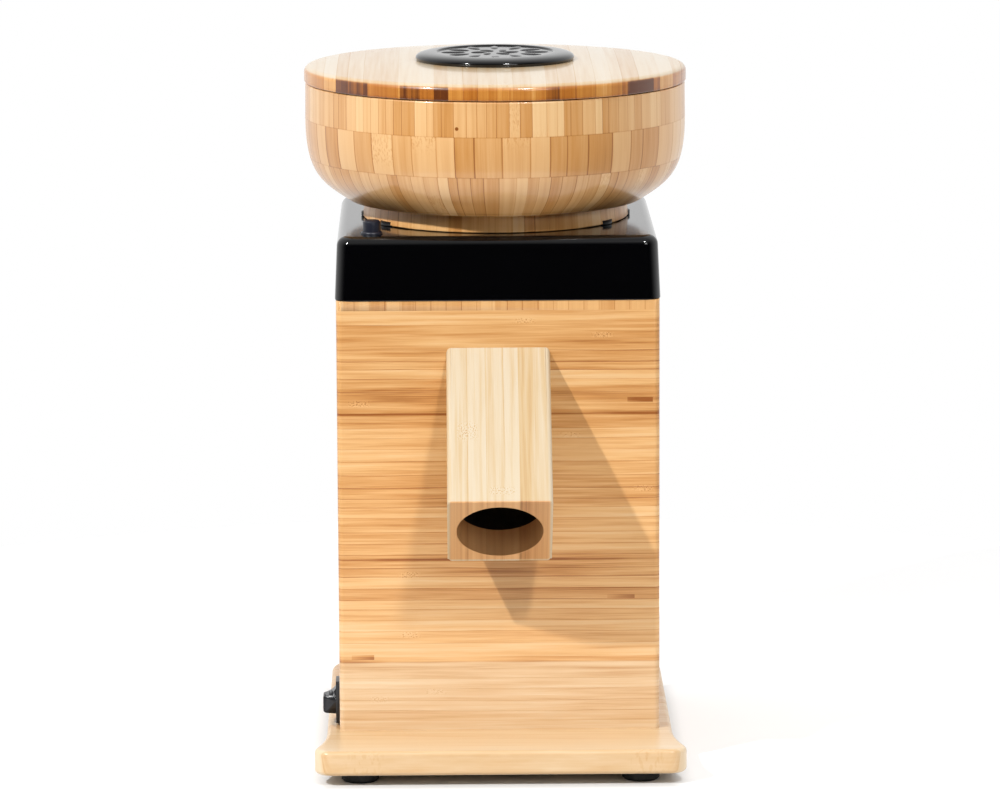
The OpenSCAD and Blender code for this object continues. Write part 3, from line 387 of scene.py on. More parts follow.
def panel_marks(f, tone, x, y, z, own):
    """Short dark pegs of filler, a few darker strips, knuckles, and the seams between boards.

    Below each seam runs a painted highlight line; the side edges are darker for their end grain,
    and painted shade darkens them more where they round off the front face.
    """
    for x0, x1, z0, z1, depth in PEGS:
        peg = x.above(x0) * x.below(x1) * z.above(z0) * z.below(z1)
        tone = tone - peg * (0.35 + (x - x0) / (x1 - x0) * 0.65) * depth
    for low, high, soft, depth in DARK_STRIPS:
        tone = tone - z.fade(low - soft, low + soft) * (1 - z.fade(high - soft, high + soft)) * depth
    tone = knuckles(f, tone, z, x, [(height, side, 2.0, 7.5) for side, height in PANEL_KNUCKLES], 0.5)
    patchy = f.noise(f.point(x * 0.02, 7.0, z * 0.1), 1.0).fade(0.35, 0.6)
    for level, depth in PANEL_SEAMS:
        tone = tone - z.near(level, 0.25, 0.75) * depth * (patchy * 0.6 + 0.4)
        # A pale line just below each seam is a painted highlight, as on the edge of a stepped board.
        tone = tone + z.near(level - 1.7, 0.4, 1.1) * 0.12
    board = f.noise(f.point(x * 0.008, 0.0, z * 0.045 + 3.0), 2.0)
    # Broad tones differ from board to board. The side edges are darker for their end grain, and more so, as
    # painted shade, where they round off the front face.
    tone = tone + (board - 0.5) * 0.5 - x.abs().fade(84.4, 85.6) * (0.1 + y.fade(-85.0, -85.6) * 0.25)
    return tone + z.fade(110, 30) * 0.12


def lowest_board(x, y, z):
    return z.fade(57.3, 56.3)


print("front panel:", len(PANEL_KNUCKLES), "knuckles,", len(PEGS), "pegs")

# %% Marks on the hopper, lid, base board, deck and spout
RIM_BLOCKS = ((-85, -68, 0.3), (-51, -25.5, 0.44), (20, 33, 0.2), (69, 83.5, 0.34))
PINHOLE_X, PINHOLE_Z = 21.3, 345.4
SPOUT_KNUCKLES = ((-16.6, -46.0, 6.5, 8.0), (1.6, -8.5, 9.0, 3.5))
SPOUT_LINE, SPOUT_BORE = 273.8, 23.1
DECK_BLOCK = 8.1


def course_joints(f, tone, x, y, z, own):
    """The glue line between two courses, a pinhole drawn as a dot of painted shade, and painted light on the
    top course.
    """
    for level in COURSES:
        tone = tone - z.near(level, 0.0, 0.5) * 0.16
    # The pinhole is only a dark dot of painted shade; the mesh has no hole.
    aside, up = x + PINHOLE_X, z - PINHOLE_Z
    pinhole = (aside * aside + up * up).root().fade(1.1, 0.7) * y.below(0)
    # The top course is made paler: painted light, as light falls more on the upper bowl.
    return tone + z.fade(330, 352) * 0.06 - pinhole * 0.9


def lid_rim(x, y, z):
    return z.fade(367.7, 366.5)


def lid_edge(f, tone, x, y, z, own):
    """The strips show their end grain on the lid's rim, a few of those blocks are dark, and painted shade
    darkens the rim's foot next to the hopper.
    """
    rim = lid_rim(x, y, z)
    for start, end, depth in RIM_BLOCKS:
        tone = tone - rim * x.above(start) * x.below(end) * depth
    # The foot of the rim is darkened as painted shade, where the lid meets the hopper.
    return tone - rim * (own[1].above(0.9) * 0.3 + z.fade(362.5, 359.5) * 0.12) + (1 - rim) * 0.06


def ledge_light_and_face_shade(f, tone, x, y, z, own):
    """Painted light makes the board's front ledge paler, and painted shade with level streaks darkens its
    front face.
    """
    front = y.fade(-131.5, -133.0)
    streaks = f.noise(f.point(x * 0.01, 4.0, z * 0.45), 2.0) - 0.5
    # Painted light on the front ledge, and painted shade with streaks on the front face.
    return tone + y.fade(-95, -124) * 0.14 - front * (0.2 - streaks * 0.3)


def end_blocks(f, tone, x, y, z, own):
    """End grain on the deck's front and back edges, with a dark line at each joint."""
    joint = ((x + 400) / DECK_BLOCK).fraction() - 0.5
    return tone - (joint.abs().fade(0.455, 0.5)) * 0.3


def spout_place(x, y, z):
    """How far down the spout, how far above its middle line, and how far from that line."""
    down, rise = (-y - z) * SLANT, (z - y - SPOUT_LINE) * SLANT
    return down, rise, (x * x + rise * rise).root()


def spout_mouth(x, y, z):
    """The spout's end face and its bore, which show end grain."""
    down, rise, away = spout_place(x, y, z)
    face = down.fade(-2.3, -1.5) * (1 - x.abs().fade(25.6, 26.9)) * rise.fade(-26.9, -25.6)
    return face.most(away.below(SPOUT_BORE))


def spout_marks(f, tone, x, y, z, own):
    """Streaks on the spout's sides, two knuckles, and a bore that is brown, then black.

    In the bore, painted shade darkens the brown further in and towards its sides.
    """
    down, rise, away = spout_place(x, y, z)
    # Inside the bore the brown is darkened further in, as painted shade, and turns black about 17 mm in.
    depth = down.fade(-1.5, -16.0) * 0.12 + down.fade(-17.3, -17.9) * 2.0
    streaks = f.noise(f.point(down * LONG, rise * 0.35, 8.0), 3.0, 0.6) - 0.5
    tone = tone + x.abs().fade(26.9, 27.4) * streaks * 1.1
    even = (0.5 - tone) * 0.55
    top = rise.fade(20.0, 24.0)
    tone = tone + (knuckles(f, tone, x, down, SPOUT_KNUCKLES, 0.6) - tone) * top
    # In the bore the tone is evened out, and painted shade darkens it towards the sides and further in.
    return tone + away.below(SPOUT_BORE) * (even + 0.04 - x.abs().fade(10.0, 23.0) * 0.12 - depth)


print("rim blocks:", len(RIM_BLOCKS), "spout knuckles:", len(SPOUT_KNUCKLES))

# %% The bamboo of each piece
PALE = lit(1.45, (192, 132, 70), (228, 180, 120), (244, 210, 164), (252, 230, 196))
HONEY = lit(1.3, (140, 76, 24), (206, 144, 76), (232, 180, 116), (247, 210, 154))
STAVES = lit(1.2, (142, 80, 28), (206, 146, 80), (230, 180, 122), (246, 208, 154))
SCRUBBED = lit(1.7, (214, 160, 100), (240, 204, 150), (251, 230, 196), (254, 240, 216))
LOWEST = lit(1.32, (176, 118, 66), (216, 166, 112), (238, 198, 150), (249, 220, 180))
LID_TOP = lit(1.7, (200, 142, 80), (232, 188, 130), (247, 220, 180), (253, 237, 210))
# The ring's tones are read at a light level below 1, so the ring comes out paler than the staves: painted
# light in place of the light that reaches under the hopper.
RING = lit(0.9, (150, 84, 28), (212, 150, 82), (236, 184, 120), (248, 212, 156))
END_GRAIN = lit(1.15, (96, 46, 8), (176, 104, 32), (206, 140, 62), (240, 190, 124))
MOUTH = [(0.004, 0.003, 0.002, 1.0)] + lit(1.0, (176, 122, 72), (206, 156, 104), (228, 184, 136))
finishes = {
    "front_panel": bamboo("bamboo_front", level_strips, 3.1, spread=0.34, knuckle=0.0, fibre=1.3,
                          extra=panel_marks, second=(lowest_board, LOWEST)),
    "back_panel": bamboo("bamboo_back", level_strips, 8.4),
    "left_panel": bamboo("bamboo_left", side_strips, 12.2),
    "right_panel": bamboo("bamboo_right", side_strips, 17.5),
    "base_board": bamboo("bamboo_base", cross_board, 21.0, strip=9.0, tones=PALE, spread=0.28,
                         seam=0.15, knuckle=0.1, fibre=0.8, extra=ledge_light_and_face_shade, wander=0.03),
    "top_deck": bamboo("bamboo_deck", front_to_back, 26.0, strip=DECK_BLOCK, spread=0.34, seam=0.1,
                       knuckle=0.1, fibre=0.45, extra=end_blocks),
    "spout_block": bamboo("bamboo_spout", down_the_spout, 31.7, strip=9.5, tones=SCRUBBED, knuckle=0.0,
                          fibre=0.9, extra=spout_marks, second=(spout_mouth, MOUTH), wander=0.1),
    "adjusting_ring": bamboo("bamboo_ring", ring_staves, 36.1, strip=8.0, tones=RING, spread=0.55,
                             knuckle=0.1, fibre=0.7, wander=0.05),
    "hopper_bowl": bamboo("bamboo_bowl", staves, 41.3, strip=8.2, tones=STAVES, spread=0.5, seam=0.34,
                          knuckle=0.22, fibre=0.55, extra=course_joints, wander=0.06, coat=0.5,
                          gloss=0.12, lines=-0.2),
    "lid": bamboo("bamboo_lid", front_to_back, 47.9, strip=8.5, tones=LID_TOP, spread=0.5, seam=0.22,
                  knuckle=0.2, fibre=0.8, extra=lid_edge, second=(lid_rim, END_GRAIN), wander=0.05,
                  coat=0.6, gloss=0.1),
    "corner_blocks": bamboo("plain_blocks", diagonal, 52.0, strip=14.0, tones=HONEY, spread=0.3, seam=0.35),
}
print("bamboo finishes:", len(finishes))

# %% [markdown]
# ## Plastics, rubber and metals
# The cover and the lid's knob are injection moulded and polished, so they are nearly black and
# mirror the studio. Castings are duller and slightly grainy; turned steel has fine rings; a
# millstone is a cast of hard grains in a pale binder. Each gets its own small node tree,
# because even a plain plastic shows a faint unevenness where light grazes it.

# %% Small finishes
def even_noise(f, x, y, z, size, detail=2.0, rough=0.5):
    return f.noise(f.point(x * size, y * size, z * size), detail, rough)


def shaded(colour, share):
    return [min(1.0, c * share) for c in colour[:3]] + [1.0]


def plastic(name, colour, rough, grain, depth):
    f = Finish(name, Coat_Weight=0.0, Coat_Roughness=0.05)
    x, y, z = f.position()
    cloud, skin = even_noise(f, x, y, z, 0.03), even_noise(f, x, y, z, grain)
    shade = f.blend((cloud * 0.5).clamp(), colour, shaded(colour, 1.35))
    uneven = rough + (cloud - 0.5) * rough * 0.5 + (skin - 0.5) * rough * 0.3
    return f.done(shade, uneven.clamp(), skin, depth)


def metal(name, colour, rough, rings, depth=0.00004, cast=False):
    """Turned metal has rings round the mill's axis; cast metal has an even grain."""
    f = Finish(name, Metallic=1.0)
    x, y, z = f.position()
    if cast:
        marks = even_noise(f, x, y, z, rings, 4.0, 0.7)
    else:
        marks = f.noise(f.point((x * x + y * y).root() * rings, z * rings, 0.0), 3.0, 0.7)
    cloud = even_noise(f, x, y, z, 0.08)
    shade = f.blend(cloud, shaded(colour, 0.8), colour)
    return f.done(shade, (rough + (marks - 0.5) * 0.25 + (cloud - 0.5) * 0.1).clamp(), marks, depth)


def millstone(name):
    f = Finish(name, Roughness=0.9)
    x, y, z = f.position()
    grains = f.node("ShaderNodeTexVoronoi", {"feature": "F1"}, out="Distance",
                    Vector=f.point(x, y, z), Scale=0.8)
    dust = even_noise(f, x, y, z, 0.2, 3.0)
    colour = f.ramp((grains * 0.6 + dust * 0.5).clamp(),
                    [(0.0, srgb(150, 142, 130)), (0.5, srgb(196, 188, 172)), (1.0, srgb(226, 220, 206))])
    return f.done(colour, (0.8 + dust * 0.2).clamp(), grains, 0.0004)


def windings(name):
    f = Finish(name, Coat_Weight=0.6, Coat_Roughness=0.2, Metallic=0.85)
    x, y, z = f.position()
    turns = f.node("ShaderNodeTexWave", {"wave_type": "BANDS", "bands_direction": "X"}, out="Fac",
                   Vector=f.point((x * x + y * y).root(), x.angle(y) * 2, z), Scale=0.9, Distortion=1.5)
    colour = f.ramp(turns, [(0.0, srgb(96, 44, 20)), (1.0, srgb(190, 104, 54))])
    return f.done(colour, 0.3 + turns * 0.15, turns, 0.0003)


gloss_black = plastic("gloss_black", srgb(3, 3, 4), 0.1, 0.5, 0.00001)
satin_black = plastic("satin_black", srgb(14, 14, 15), 0.38, 3.0, 0.00003)
button_blue = plastic("button_blue_black", srgb(22, 24, 36), 0.36, 3.0, 0.00003)
print("materials:", len(bpy.data.materials))

# %% Give every solid of the model its finish
other_finishes = (
    (gloss_black, "top_cover lid_knob"),
    (satin_black, "hopper_collar"),
    (button_blue, "reset_button"),
    (plastic("dull_black", srgb(26, 26, 28), 0.55, 4.0, 0.00005),
     "chute cooling_fan overload_breaker cord_gland gland_nut"),
    (plastic("switch_black", srgb(20, 20, 24), 0.3, 3.0, 0.00003), "switch_body rocker"),
    (plastic("pale_plastic", srgb(222, 219, 204), 0.5, 2.0, 0.00005), "terminal_block"),
    (plastic("foot_rubber", srgb(22, 22, 22), 0.8, 2.5, 0.0001), "rubber_feet shaft_seal"),
    (plastic("motor_paint", srgb(34, 35, 38), 0.42, 1.5, 0.00005), "motor_can"),
    (metal("cast_aluminium", srgb(176, 178, 182), 0.45, 0.9, 0.00015, True),
     "mill_chamber motor_bracket motor_top_bell motor_bottom_bell stone_carrier sweeper"),
    (metal("turned_steel", srgb(196, 198, 202), 0.22, 4.0),
     "motor_shaft stone_hub guide_pins drive_pins chamber_bearing motor_bearings stone_springs "
     "reset_spring"),
    (metal("zinc_screw", srgb(186, 186, 190), 0.3, 2.0, 0.00003, True),
     "foot_screws base_screws deck_screws spout_screws cover_screws chamber_screws bracket_screws "
     "motor_screws collar_screws lid_screw hub_nut capacitor_clip"),
    (metal("core_steel", srgb(104, 106, 112), 0.5, 3.0), "stator_core motor_rotor"),
    (metal("capacitor_case", srgb(200, 201, 204), 0.28, 1.2, 0.00003, True), "capacitor"),
    (millstone("millstone"), "lower_stone upper_stone"),
    (windings("copper_windings"), "stator_windings"),
)
for material, names in other_finishes:
    for name in names.split():
        finishes[name] = material


def cover_with(piece, material):
    """Puts one material in all of a piece's slots."""
    slots = piece.data.materials
    for i in range(len(slots)):
        slots[i] = material
    if not len(slots):
        slots.append(material)


for name, solid in NODES.items():
    cover_with(solid, finishes[name])
print("finished solids:", len(NODES), "left plain:", sorted(set(NODES) - set(finishes)))

# %% [markdown]
# ## Smooth edges on the model's own solids
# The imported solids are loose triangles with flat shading, so a rounded edge would show as
# facets. For the pieces that are seen from close by, a copy is welded, smoothed, and creased
# only where two faces meet at a real angle. The copy then stands in for the solid. A
# Weighted Normal modifier keeps large flats flat next to their small fillets.

# %% Welded copies
SAME_POINT = 1e-6          # metres: corners closer than this are one corner


def put_in_scene(name, mesh, material, body, stands_for=()):
    """Makes an object of a finished mesh, at the origin, riding on its body."""
    piece = in_scene(name, mesh)
    cover_with(piece, material)
    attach(piece, body)
    if stands_for:
        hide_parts(*stands_for)
    return piece


def made_plain(holder):
    """The mesh that an object's modifiers make. The object itself is taken away."""
    shape = holder.evaluated_get(bpy.context.evaluated_depsgraph_get())
    mesh = bpy.data.meshes.new_from_object(shape)
    bpy.data.objects.remove(holder)
    return mesh


def joined(mesh, gap, turn_out=False):
    """Joins corners closer than a gap, and turns the faces outwards where that is asked."""
    work = bmesh.new()
    work.from_mesh(mesh)
    bmesh.ops.remove_doubles(work, verts=work.verts, dist=gap)
    if turn_out:
        bmesh.ops.recalc_face_normals(work, faces=work.faces)
    work.to_mesh(mesh)
    work.free()
    return mesh


def smooth_normals(mesh, crease=32.0):
    """Shades smoothly, keeps real edges sharp, and weights the normals by face area."""
    mesh.polygons.foreach_set("use_smooth", [True] * len(mesh.polygons))
    mesh.set_sharp_from_angle(angle=math.radians(crease))
    holder = in_scene("normals_holder", mesh)
    holder.modifiers.new("weigh", "WEIGHTED_NORMAL").keep_sharp = True
    return made_plain(holder)


def weld(node):
    """Replaces a solid by a welded, smoothly shaded copy of itself."""
    mesh = smooth_normals(joined(NODES[node].data.copy(), SAME_POINT))
    return put_in_scene(node + "_smooth", mesh, finishes[node], NODES[node]["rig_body"],
                        [node])


welded = [weld(node) for node in (
    "front_panel", "back_panel", "spout_block", "rubber_feet", "cord_gland", "switch_body", "rocker",
    "top_deck", "hopper_collar", "adjusting_ring", "reset_button", "mill_chamber")]
print("welded:", len(welded), "largest:", max(len(p.data.polygons) for p in welded), "faces")

# %% [markdown]
# ## Turned pieces
# The hopper, the lid and its knob are turned on a lathe: their shape is one outline swept round
# an axis. That is a rule, so a Geometry Nodes tree makes it. The tree takes the outline as a
# chain of points, lays out a grid with one row for each point, and bends the grid round the
# axis. It stays editable by its inputs until the result is turned into a plain mesh.

# %% The lathe tree
class Shape(Tree):
    """A Geometry Nodes tree in the making, with named inputs."""

    def __init__(self, name, **kinds):
        super().__init__(bpy.data.node_groups.new(name, "GeometryNodeTree"))
        self.socket("Made", "OUTPUT", "Geometry")
        for label, kind in kinds.items():
            self.socket(label.replace("_", " "), "INPUT", kind)

    def socket(self, label, way, kind):
        self.tree.interface.new_socket(label, in_out=way, socket_type="NodeSocket" + kind)

    def given(self, label):
        return self.node("NodeGroupInput", out=label)

    def end(self, geometry, material):
        """Makes instances real, gives the one material and leads the result out."""
        real = self.node("GeometryNodeRealizeInstances", Geometry=geometry)
        dressed = self.node("GeometryNodeSetMaterial", Geometry=real, Material=material)
        self.wire(dressed, self.tree.nodes.new("NodeGroupOutput").inputs[0])
        return self.tree


def lathe_tree(material):
    f = Shape("lathe", Outline="Geometry", Steps_Round="Int", Axis_Y="Float")
    outline = f.given("Outline")
    count = f.node("GeometryNodeAttributeDomainSize", {"component": "MESH"}, out="Point Count",
                   Geometry=outline)
    grid = f.node("GeometryNodeMeshGrid", out="Mesh", Size_X=1.0, Size_Y=1.0,
                  Vertices_X=f.given("Steps Round") + 1, Vertices_Y=count)
    across, along, _ = f.split(f.node("GeometryNodeInputPosition"))
    row = ((along + 0.5) * (count - 1)).whole()
    point = f.node("GeometryNodeSampleIndex", {"data_type": "FLOAT_VECTOR", "domain": "POINT"},
                   Geometry=outline, Value=f.node("GeometryNodeInputPosition"), Index=row)
    radius, _, height = f.split(point)
    angle = (across + 0.5) * (2 * math.pi)
    spot = f.point(radius * angle.cosine(), radius * angle.sine() + f.given("Axis Y"), height)
    bent = f.node("GeometryNodeSetPosition", Geometry=grid, Position=spot)
    return f.end(f.node("GeometryNodeMergeByDistance", Geometry=bent, Distance=SAME_POINT), material)


def baked(name, base_mesh, tree, inputs):
    """Runs a tree on a mesh and returns the result as a plain mesh with no modifier."""
    holder = in_scene(name + "_holder", base_mesh)
    run = holder.modifiers.new("run", "NODES")
    run.node_group = tree
    for item in tree.interface.items_tree:
        if item.item_type == "SOCKET" and item.in_out == "INPUT" and item.name in inputs:
            run[item.identifier] = inputs[item.name]
    return made_plain(holder)


def outwards(mesh):
    """Turns the faces outwards and leaves a clean closed mesh."""
    return joined(mesh, SAME_POINT / 10, turn_out=True)


def turned(name, outline, material, body, stands_for=(), axis=(0.0, 0.0), steps=192):
    """Sweeps an outline of (radius, height) points, in millimetres, round an upright axis."""
    chain = bpy.data.meshes.new(name + "_outline")
    points = [(r * MM, 0, h * MM) for r, h in outline]
    chain.from_pydata(points, [(i, i + 1) for i in range(len(points) - 1)], [])
    mesh = baked(name, chain, lathe_tree(material),
                 {"Steps Round": steps, "Axis Y": (axis[1] + AXIS_Y) * MM})
    mesh.transform(Matrix.Translation((axis[0] * MM, 0, 0)))
    return put_in_scene(name, smooth_normals(outwards(mesh)), material, body, stands_for)


def curve(p0, p1, p2, p3, steps):
    """Points on a cubic curve from p0 to p3."""
    found = []
    for i in range(steps + 1):
        t = i / steps
        s = 1 - t
        found.append(tuple(s ** 3 * a + 3 * s * s * t * b + 3 * s * t * t * c + t ** 3 * d
                           for a, b, c, d in zip(p0, p1, p2, p3)))
    return found


def rounded(corner, start, end, radius, steps=5):
    """The corner of an outline, from the side of start to the side of end, rounded off."""
    c, a, b = Vector(corner), Vector(start), Vector(end)
    p, q = c + (a - c).normalized() * radius, c + (b - c).normalized() * radius
    shares = [i / steps for i in range(steps + 1)]
    return [tuple(p * (1 - t) ** 2 + c * 2 * t * (1 - t) + q * t * t) for t in shares]


print("lathe tree ready")

# %% [markdown]
# ## The hopper
# The real hopper is a stack of three rings glued up from upright staves, then turned into a
# round-bellied bowl with a flat foot and a mouth that steps in for the lid. Sweeping one
# outline gives the belly its even curve. The outline follows the solid model's, with more
# points, so that its edge stays round from close by.

# %% Turn the hopper
FOOT_Z, RIM_Z, FEED_R, BOWL_R, BOWL_IN_R = 296.0, 359.6, 46.3, 102.8, 94.3
bowl_outline = (
    [(FEED_R, FOOT_Z), (60.0, FOOT_Z)]
    + rounded((79, FOOT_Z), (60, FOOT_Z), (84.5, 299.5), 0.8, 3)
    + curve((79, FOOT_Z), (94.23, FOOT_Z + 9.8), (BOWL_R, FOOT_Z + 14), (BOWL_R, FOOT_Z + 44), 28)[2:]
    + rounded((102.6, RIM_Z), (102.7, 345), (95, RIM_Z), 1.2)
    + rounded((BOWL_IN_R, RIM_Z), (100, RIM_Z), (BOWL_IN_R, 345), 1.0)
    + curve((BOWL_IN_R, FOOT_Z + 46), (BOWL_IN_R, FOOT_Z + 17), (80, FOOT_Z + 9.5),
            (FEED_R, FOOT_Z + 7.5), 22)
    + [(FEED_R, FOOT_Z)])
bowl = turned("hopper_staves", bowl_outline, finishes["hopper_bowl"], "hopper",
              ["hopper_bowl"])
print("hopper faces:", len(bowl.data.polygons))

# %% [markdown]
# ## The lid and its knob
# The lid is one glued board, crowned a little towards the middle and rounded over at its rim,
# with a step below that drops into the hopper. The knob is a low polished disc. Both are
# turned with the same tree.

# %% Turn the lid and knob
STEP_Z, LID_Z, EDGE_Z, CROWN_Z, TOP_Z = 353.9, 359.9, 368.5, 370.9, 375.4
STEP_R, LID_R, KNOB_R, FACE_R = 93.3, 103.2, 42.9, 31.9
lid_outline = (
    [(0.0, STEP_Z)] + rounded((STEP_R, STEP_Z), (50, STEP_Z), (STEP_R, 359), 0.8, 3)
    + [(STEP_R, LID_Z)] + rounded((LID_R, LID_Z), (95, LID_Z), (LID_R, 365), 1.0)
    + curve((LID_R, EDGE_Z - 3.5), (LID_R, EDGE_Z - 1.4), (101.6, EDGE_Z), (99.2, EDGE_Z + 0.1), 8)
    + curve((95.2, EDGE_Z + 0.35), (78.2, EDGE_Z + 1.44), (57.9, CROWN_Z), (43.9, CROWN_Z), 12)
    + [(0.0, CROWN_Z)])
lid = turned("lid_board", lid_outline, finishes["lid"], "lid_body", ["lid"])
knob_outline = (
    [(0.0, CROWN_Z)] + rounded((42.3, CROWN_Z), (30, CROWN_Z), (KNOB_R, 371.7), 0.5, 3)
    + curve((KNOB_R, 372.25), (KNOB_R, 374.7), (FACE_R + 6, TOP_Z), (FACE_R, TOP_Z), 14)
    + [(FACE_R - 0.3, TOP_Z - 0.12), (FACE_R - 0.8, TOP_Z - 0.7), (0.0, TOP_Z - 0.7)])
knob = turned("knob_disc", knob_outline, gloss_black, "lid_body", ["lid_knob"], steps=128)
print("lid faces:", len(lid.data.polygons), "knob faces:", len(knob.data.polygons))

# %% [markdown]
# ## A moulded rosette on the knob
# Such knobs carry a raised ornament inside their rim. A plain rosette of slim leaves is used
# here: one leaf, repeated round the middle by a Geometry Nodes tree that takes how many leaves
# and how far out they lie. Two rings of leaves of different sizes make the whole ornament.

# %% The rosette tree
def skin(name, rows, loop=False, caps=False):
    """Skins rows of points. A loop joins the last row to the first; caps close the two ends."""
    width, last = len(rows[0]), len(rows) - 1
    pairs = [(i, i + 1) for i in range(last)] + ([(last, 0)] if loop else [])
    faces = [(low * width + k, low * width + (k + 1) % width,
              high * width + (k + 1) % width, high * width + k) for low, high in pairs for k in range(width)]
    if caps:
        faces += [range(width), range(last * width, (last + 1) * width)]
    mesh = bpy.data.meshes.new(name)
    mesh.from_pydata([point for row in rows for point in row], [], faces)
    return outwards(mesh)


def leaf_mesh(name, length, width, height, steps=10):
    """A slim raised leaf lying along X, closed below."""
    rows = []
    for i in range(steps + 1):
        t = i / steps
        half = width / 2 * math.sin(math.pi * t) ** 0.75
        crest = height * math.sin(math.pi * t) ** 0.5
        rows.append([((t - 0.5) * length * MM, side * half * MM, up * MM) for side, up in
                     ((-1, 0), (-0.8, crest * 0.65), (0, crest), (0.8, crest * 0.65), (1, 0))])
    return skin(name, rows)


def rosette_tree(leaf, material):
    f = Shape("rosette", Geometry="Geometry", Leaves="Int", Radius="Float", Twist="Float")
    ring = f.node("GeometryNodeMeshCircle", Vertices=f.given("Leaves"), Radius=f.given("Radius"))
    turn = f.node("GeometryNodeInputIndex") / f.given("Leaves") * (2 * math.pi) + f.given("Twist")
    leaves = f.node("GeometryNodeInstanceOnPoints", Points=ring, Rotation=f.point(0.0, 0.0, turn),
                    Instance=f.node("GeometryNodeObjectInfo", out="Geometry", Object=leaf))
    return f.end(leaves, material)


def rosette(name, leaves, radius, twist, length, width, height):
    leaf = in_scene(name + "_leaf", leaf_mesh(name + "_leaf", length, width, height))
    mesh = baked(name, bpy.data.meshes.new(name + "_empty"), rosette_tree(leaf, gloss_black),
                 {"Leaves": leaves, "Radius": radius * MM, "Twist": twist})
    bpy.data.objects.remove(leaf)
    mesh.transform(Matrix.Translation(mm(0, 0, TOP_Z - 0.75)))
    return put_in_scene(name, smooth_normals(mesh, 60), gloss_black, "lid_body")


outer_leaves = rosette("rosette_outer", 12, 22.5, 0.0, 14.0, 4.6, 0.72)
inner_leaves = rosette("rosette_inner", 6, 8.5, 0.35, 10.0, 4.4, 0.72)
print("rosette faces:", len(outer_leaves.data.polygons) + len(inner_leaves.data.polygons))

# %% [markdown]
# ## Cutting tools
# Some holes don't follow from a turned or lofted outline: the hole for the button, and the base
# board's slots. They are cut with simple solid shapes, joined into one tool. The exact solver
# keeps the cut faces clean, and the result is stored as a plain mesh, so no modifier is left.

# %% Make the cutting tools
def drill(x, y, z0, z1, radius):
    """A drill's place and size, for cut_out."""
    size = Matrix.Diagonal((radius * MM, radius * MM, (z1 - z0) * MM, 1))
    return "drill", Matrix.Translation(mm(x, y, (z0 + z1) / 2)) @ size


def saw(x, y, z, wide, deep, high):
    """A box-shaped cut's place and size, for cut_out."""
    return "saw", Matrix.Translation(mm(x, y, z)) @ Matrix.Diagonal((wide * MM, deep * MM, high * MM, 1))


def cut_out(mesh, cuts):
    """Takes drills and saw cuts out of a closed mesh and returns what is left."""
    work = bmesh.new()
    for kind, matrix in cuts:
        if kind == "saw":
            bmesh.ops.create_cube(work, size=1.0, matrix=matrix)
        else:
            bmesh.ops.create_cone(work, cap_ends=True, segments=32, radius1=1.0, radius2=1.0,
                                  depth=1.0, matrix=matrix)
    tool_mesh = bpy.data.meshes.new("cutter")
    work.to_mesh(tool_mesh)
    work.free()
    tool, holder = in_scene("cutter", tool_mesh), in_scene("cut_work", mesh)
    cut = holder.modifiers.new("cut", "BOOLEAN")
    cut.operation, cut.solver, cut.object = "DIFFERENCE", "EXACT", tool
    what_is_left = made_plain(holder)
    bpy.data.objects.remove(tool)
    return outwards(what_is_left)


print("cutting tools ready")

# %% [markdown]
# ## The black cover
# The cover is a moulded cap: a square shell with drafted sides, round corners, a rounded upper
# edge and a round opening for the neck. Its outline at each height is the same rounded square,
# a little smaller further up, so it is lofted: ring after ring of points, up the outside, in
# to the opening, and down the inside, back to where it began. One closed band of rings has a
# real wall and no seam. The button's collar and the four screw bosses below are round, so
# they are turned.

# %% Loft the cover
COVER_Z, COVER_TOP, COVER_HALF, COVER_DRAFT, COVER_WALL = 252.1, 286.0, 86.3, 1.5, 3.0
EDGE_ROUND, CORNER_R, NECK_R = 5.0, 8, 58.0
COVER_HIGH = COVER_TOP - COVER_Z
SHOULDER = COVER_HIGH - EDGE_ROUND


def rounded_square(half, radius, z, per_corner=12, per_side=8):
    """Points round a square with rounded corners, anticlockwise seen from above."""
    def on_corner(corner, degrees):
        cx, cy = [(1, 1), (-1, 1), (-1, -1), (1, -1)][corner % 4]
        a = math.radians(degrees)
        return (half - radius) * cx + radius * math.cos(a), (half - radius) * cy + radius * math.sin(a)
    points = []
    for corner in range(4):
        turn = corner * 90
        points += [(*on_corner(corner, turn + 90 * i / per_corner), z) for i in range(per_corner + 1)]
        (x0, y0, _), (x1, y1) = points[-1], on_corner(corner + 1, turn + 90)
        shares = [i / per_side for i in range(1, per_side)]
        points += [(x0 + (x1 - x0) * t, y0 + (y1 - y0) * t, z) for t in shares]
    return points


def toward_neck(points, share, z):
    """Moves a ring of points part of the way in to the neck's opening."""
    moved = []
    for x, y, _ in points:
        away = math.hypot(x, y)
        moved.append((x + (x / away * NECK_R - x) * share, y + (y / away * NECK_R - y) * share, z))
    return moved


def loft(name, rings, **ends):
    """Skins rings of points given in millimetres from the axis."""
    return skin(name, [[mm(*point) for point in ring] for ring in rings], **ends)


def cover_ring(inset, up, corner=CORNER_R):
    half = COVER_HALF - COVER_DRAFT * (up / COVER_HIGH) - inset
    return rounded_square(half, max(corner - inset, 0.8), COVER_Z + up)


rings = [cover_ring(0.7, 0.0), cover_ring(0.2, 0.2), cover_ring(0.0, 0.8)]
rings += [cover_ring(0.0, up) for up in (10, 20, SHOULDER)]
for a in range(10, 91, 10):
    s, c = math.sin(math.radians(a)), math.cos(math.radians(a))
    rings.append(cover_ring(EDGE_ROUND * (1 - c), SHOULDER + EDGE_ROUND * s))
top_ring = rings[-1]
rings += [toward_neck(top_ring, share, COVER_TOP) for share in (0.15, 0.5, 0.85, 0.985)]
rings += [toward_neck(top_ring, 1.0, COVER_TOP - down) for down in (0.4, COVER_WALL)]
rings += [cover_ring(7.0, COVER_HIGH - COVER_WALL, 10), cover_ring(COVER_WALL, 26.9),
          cover_ring(COVER_WALL, 0.0)]
print("cover rings:", len(rings), "of", len(top_ring), "points")

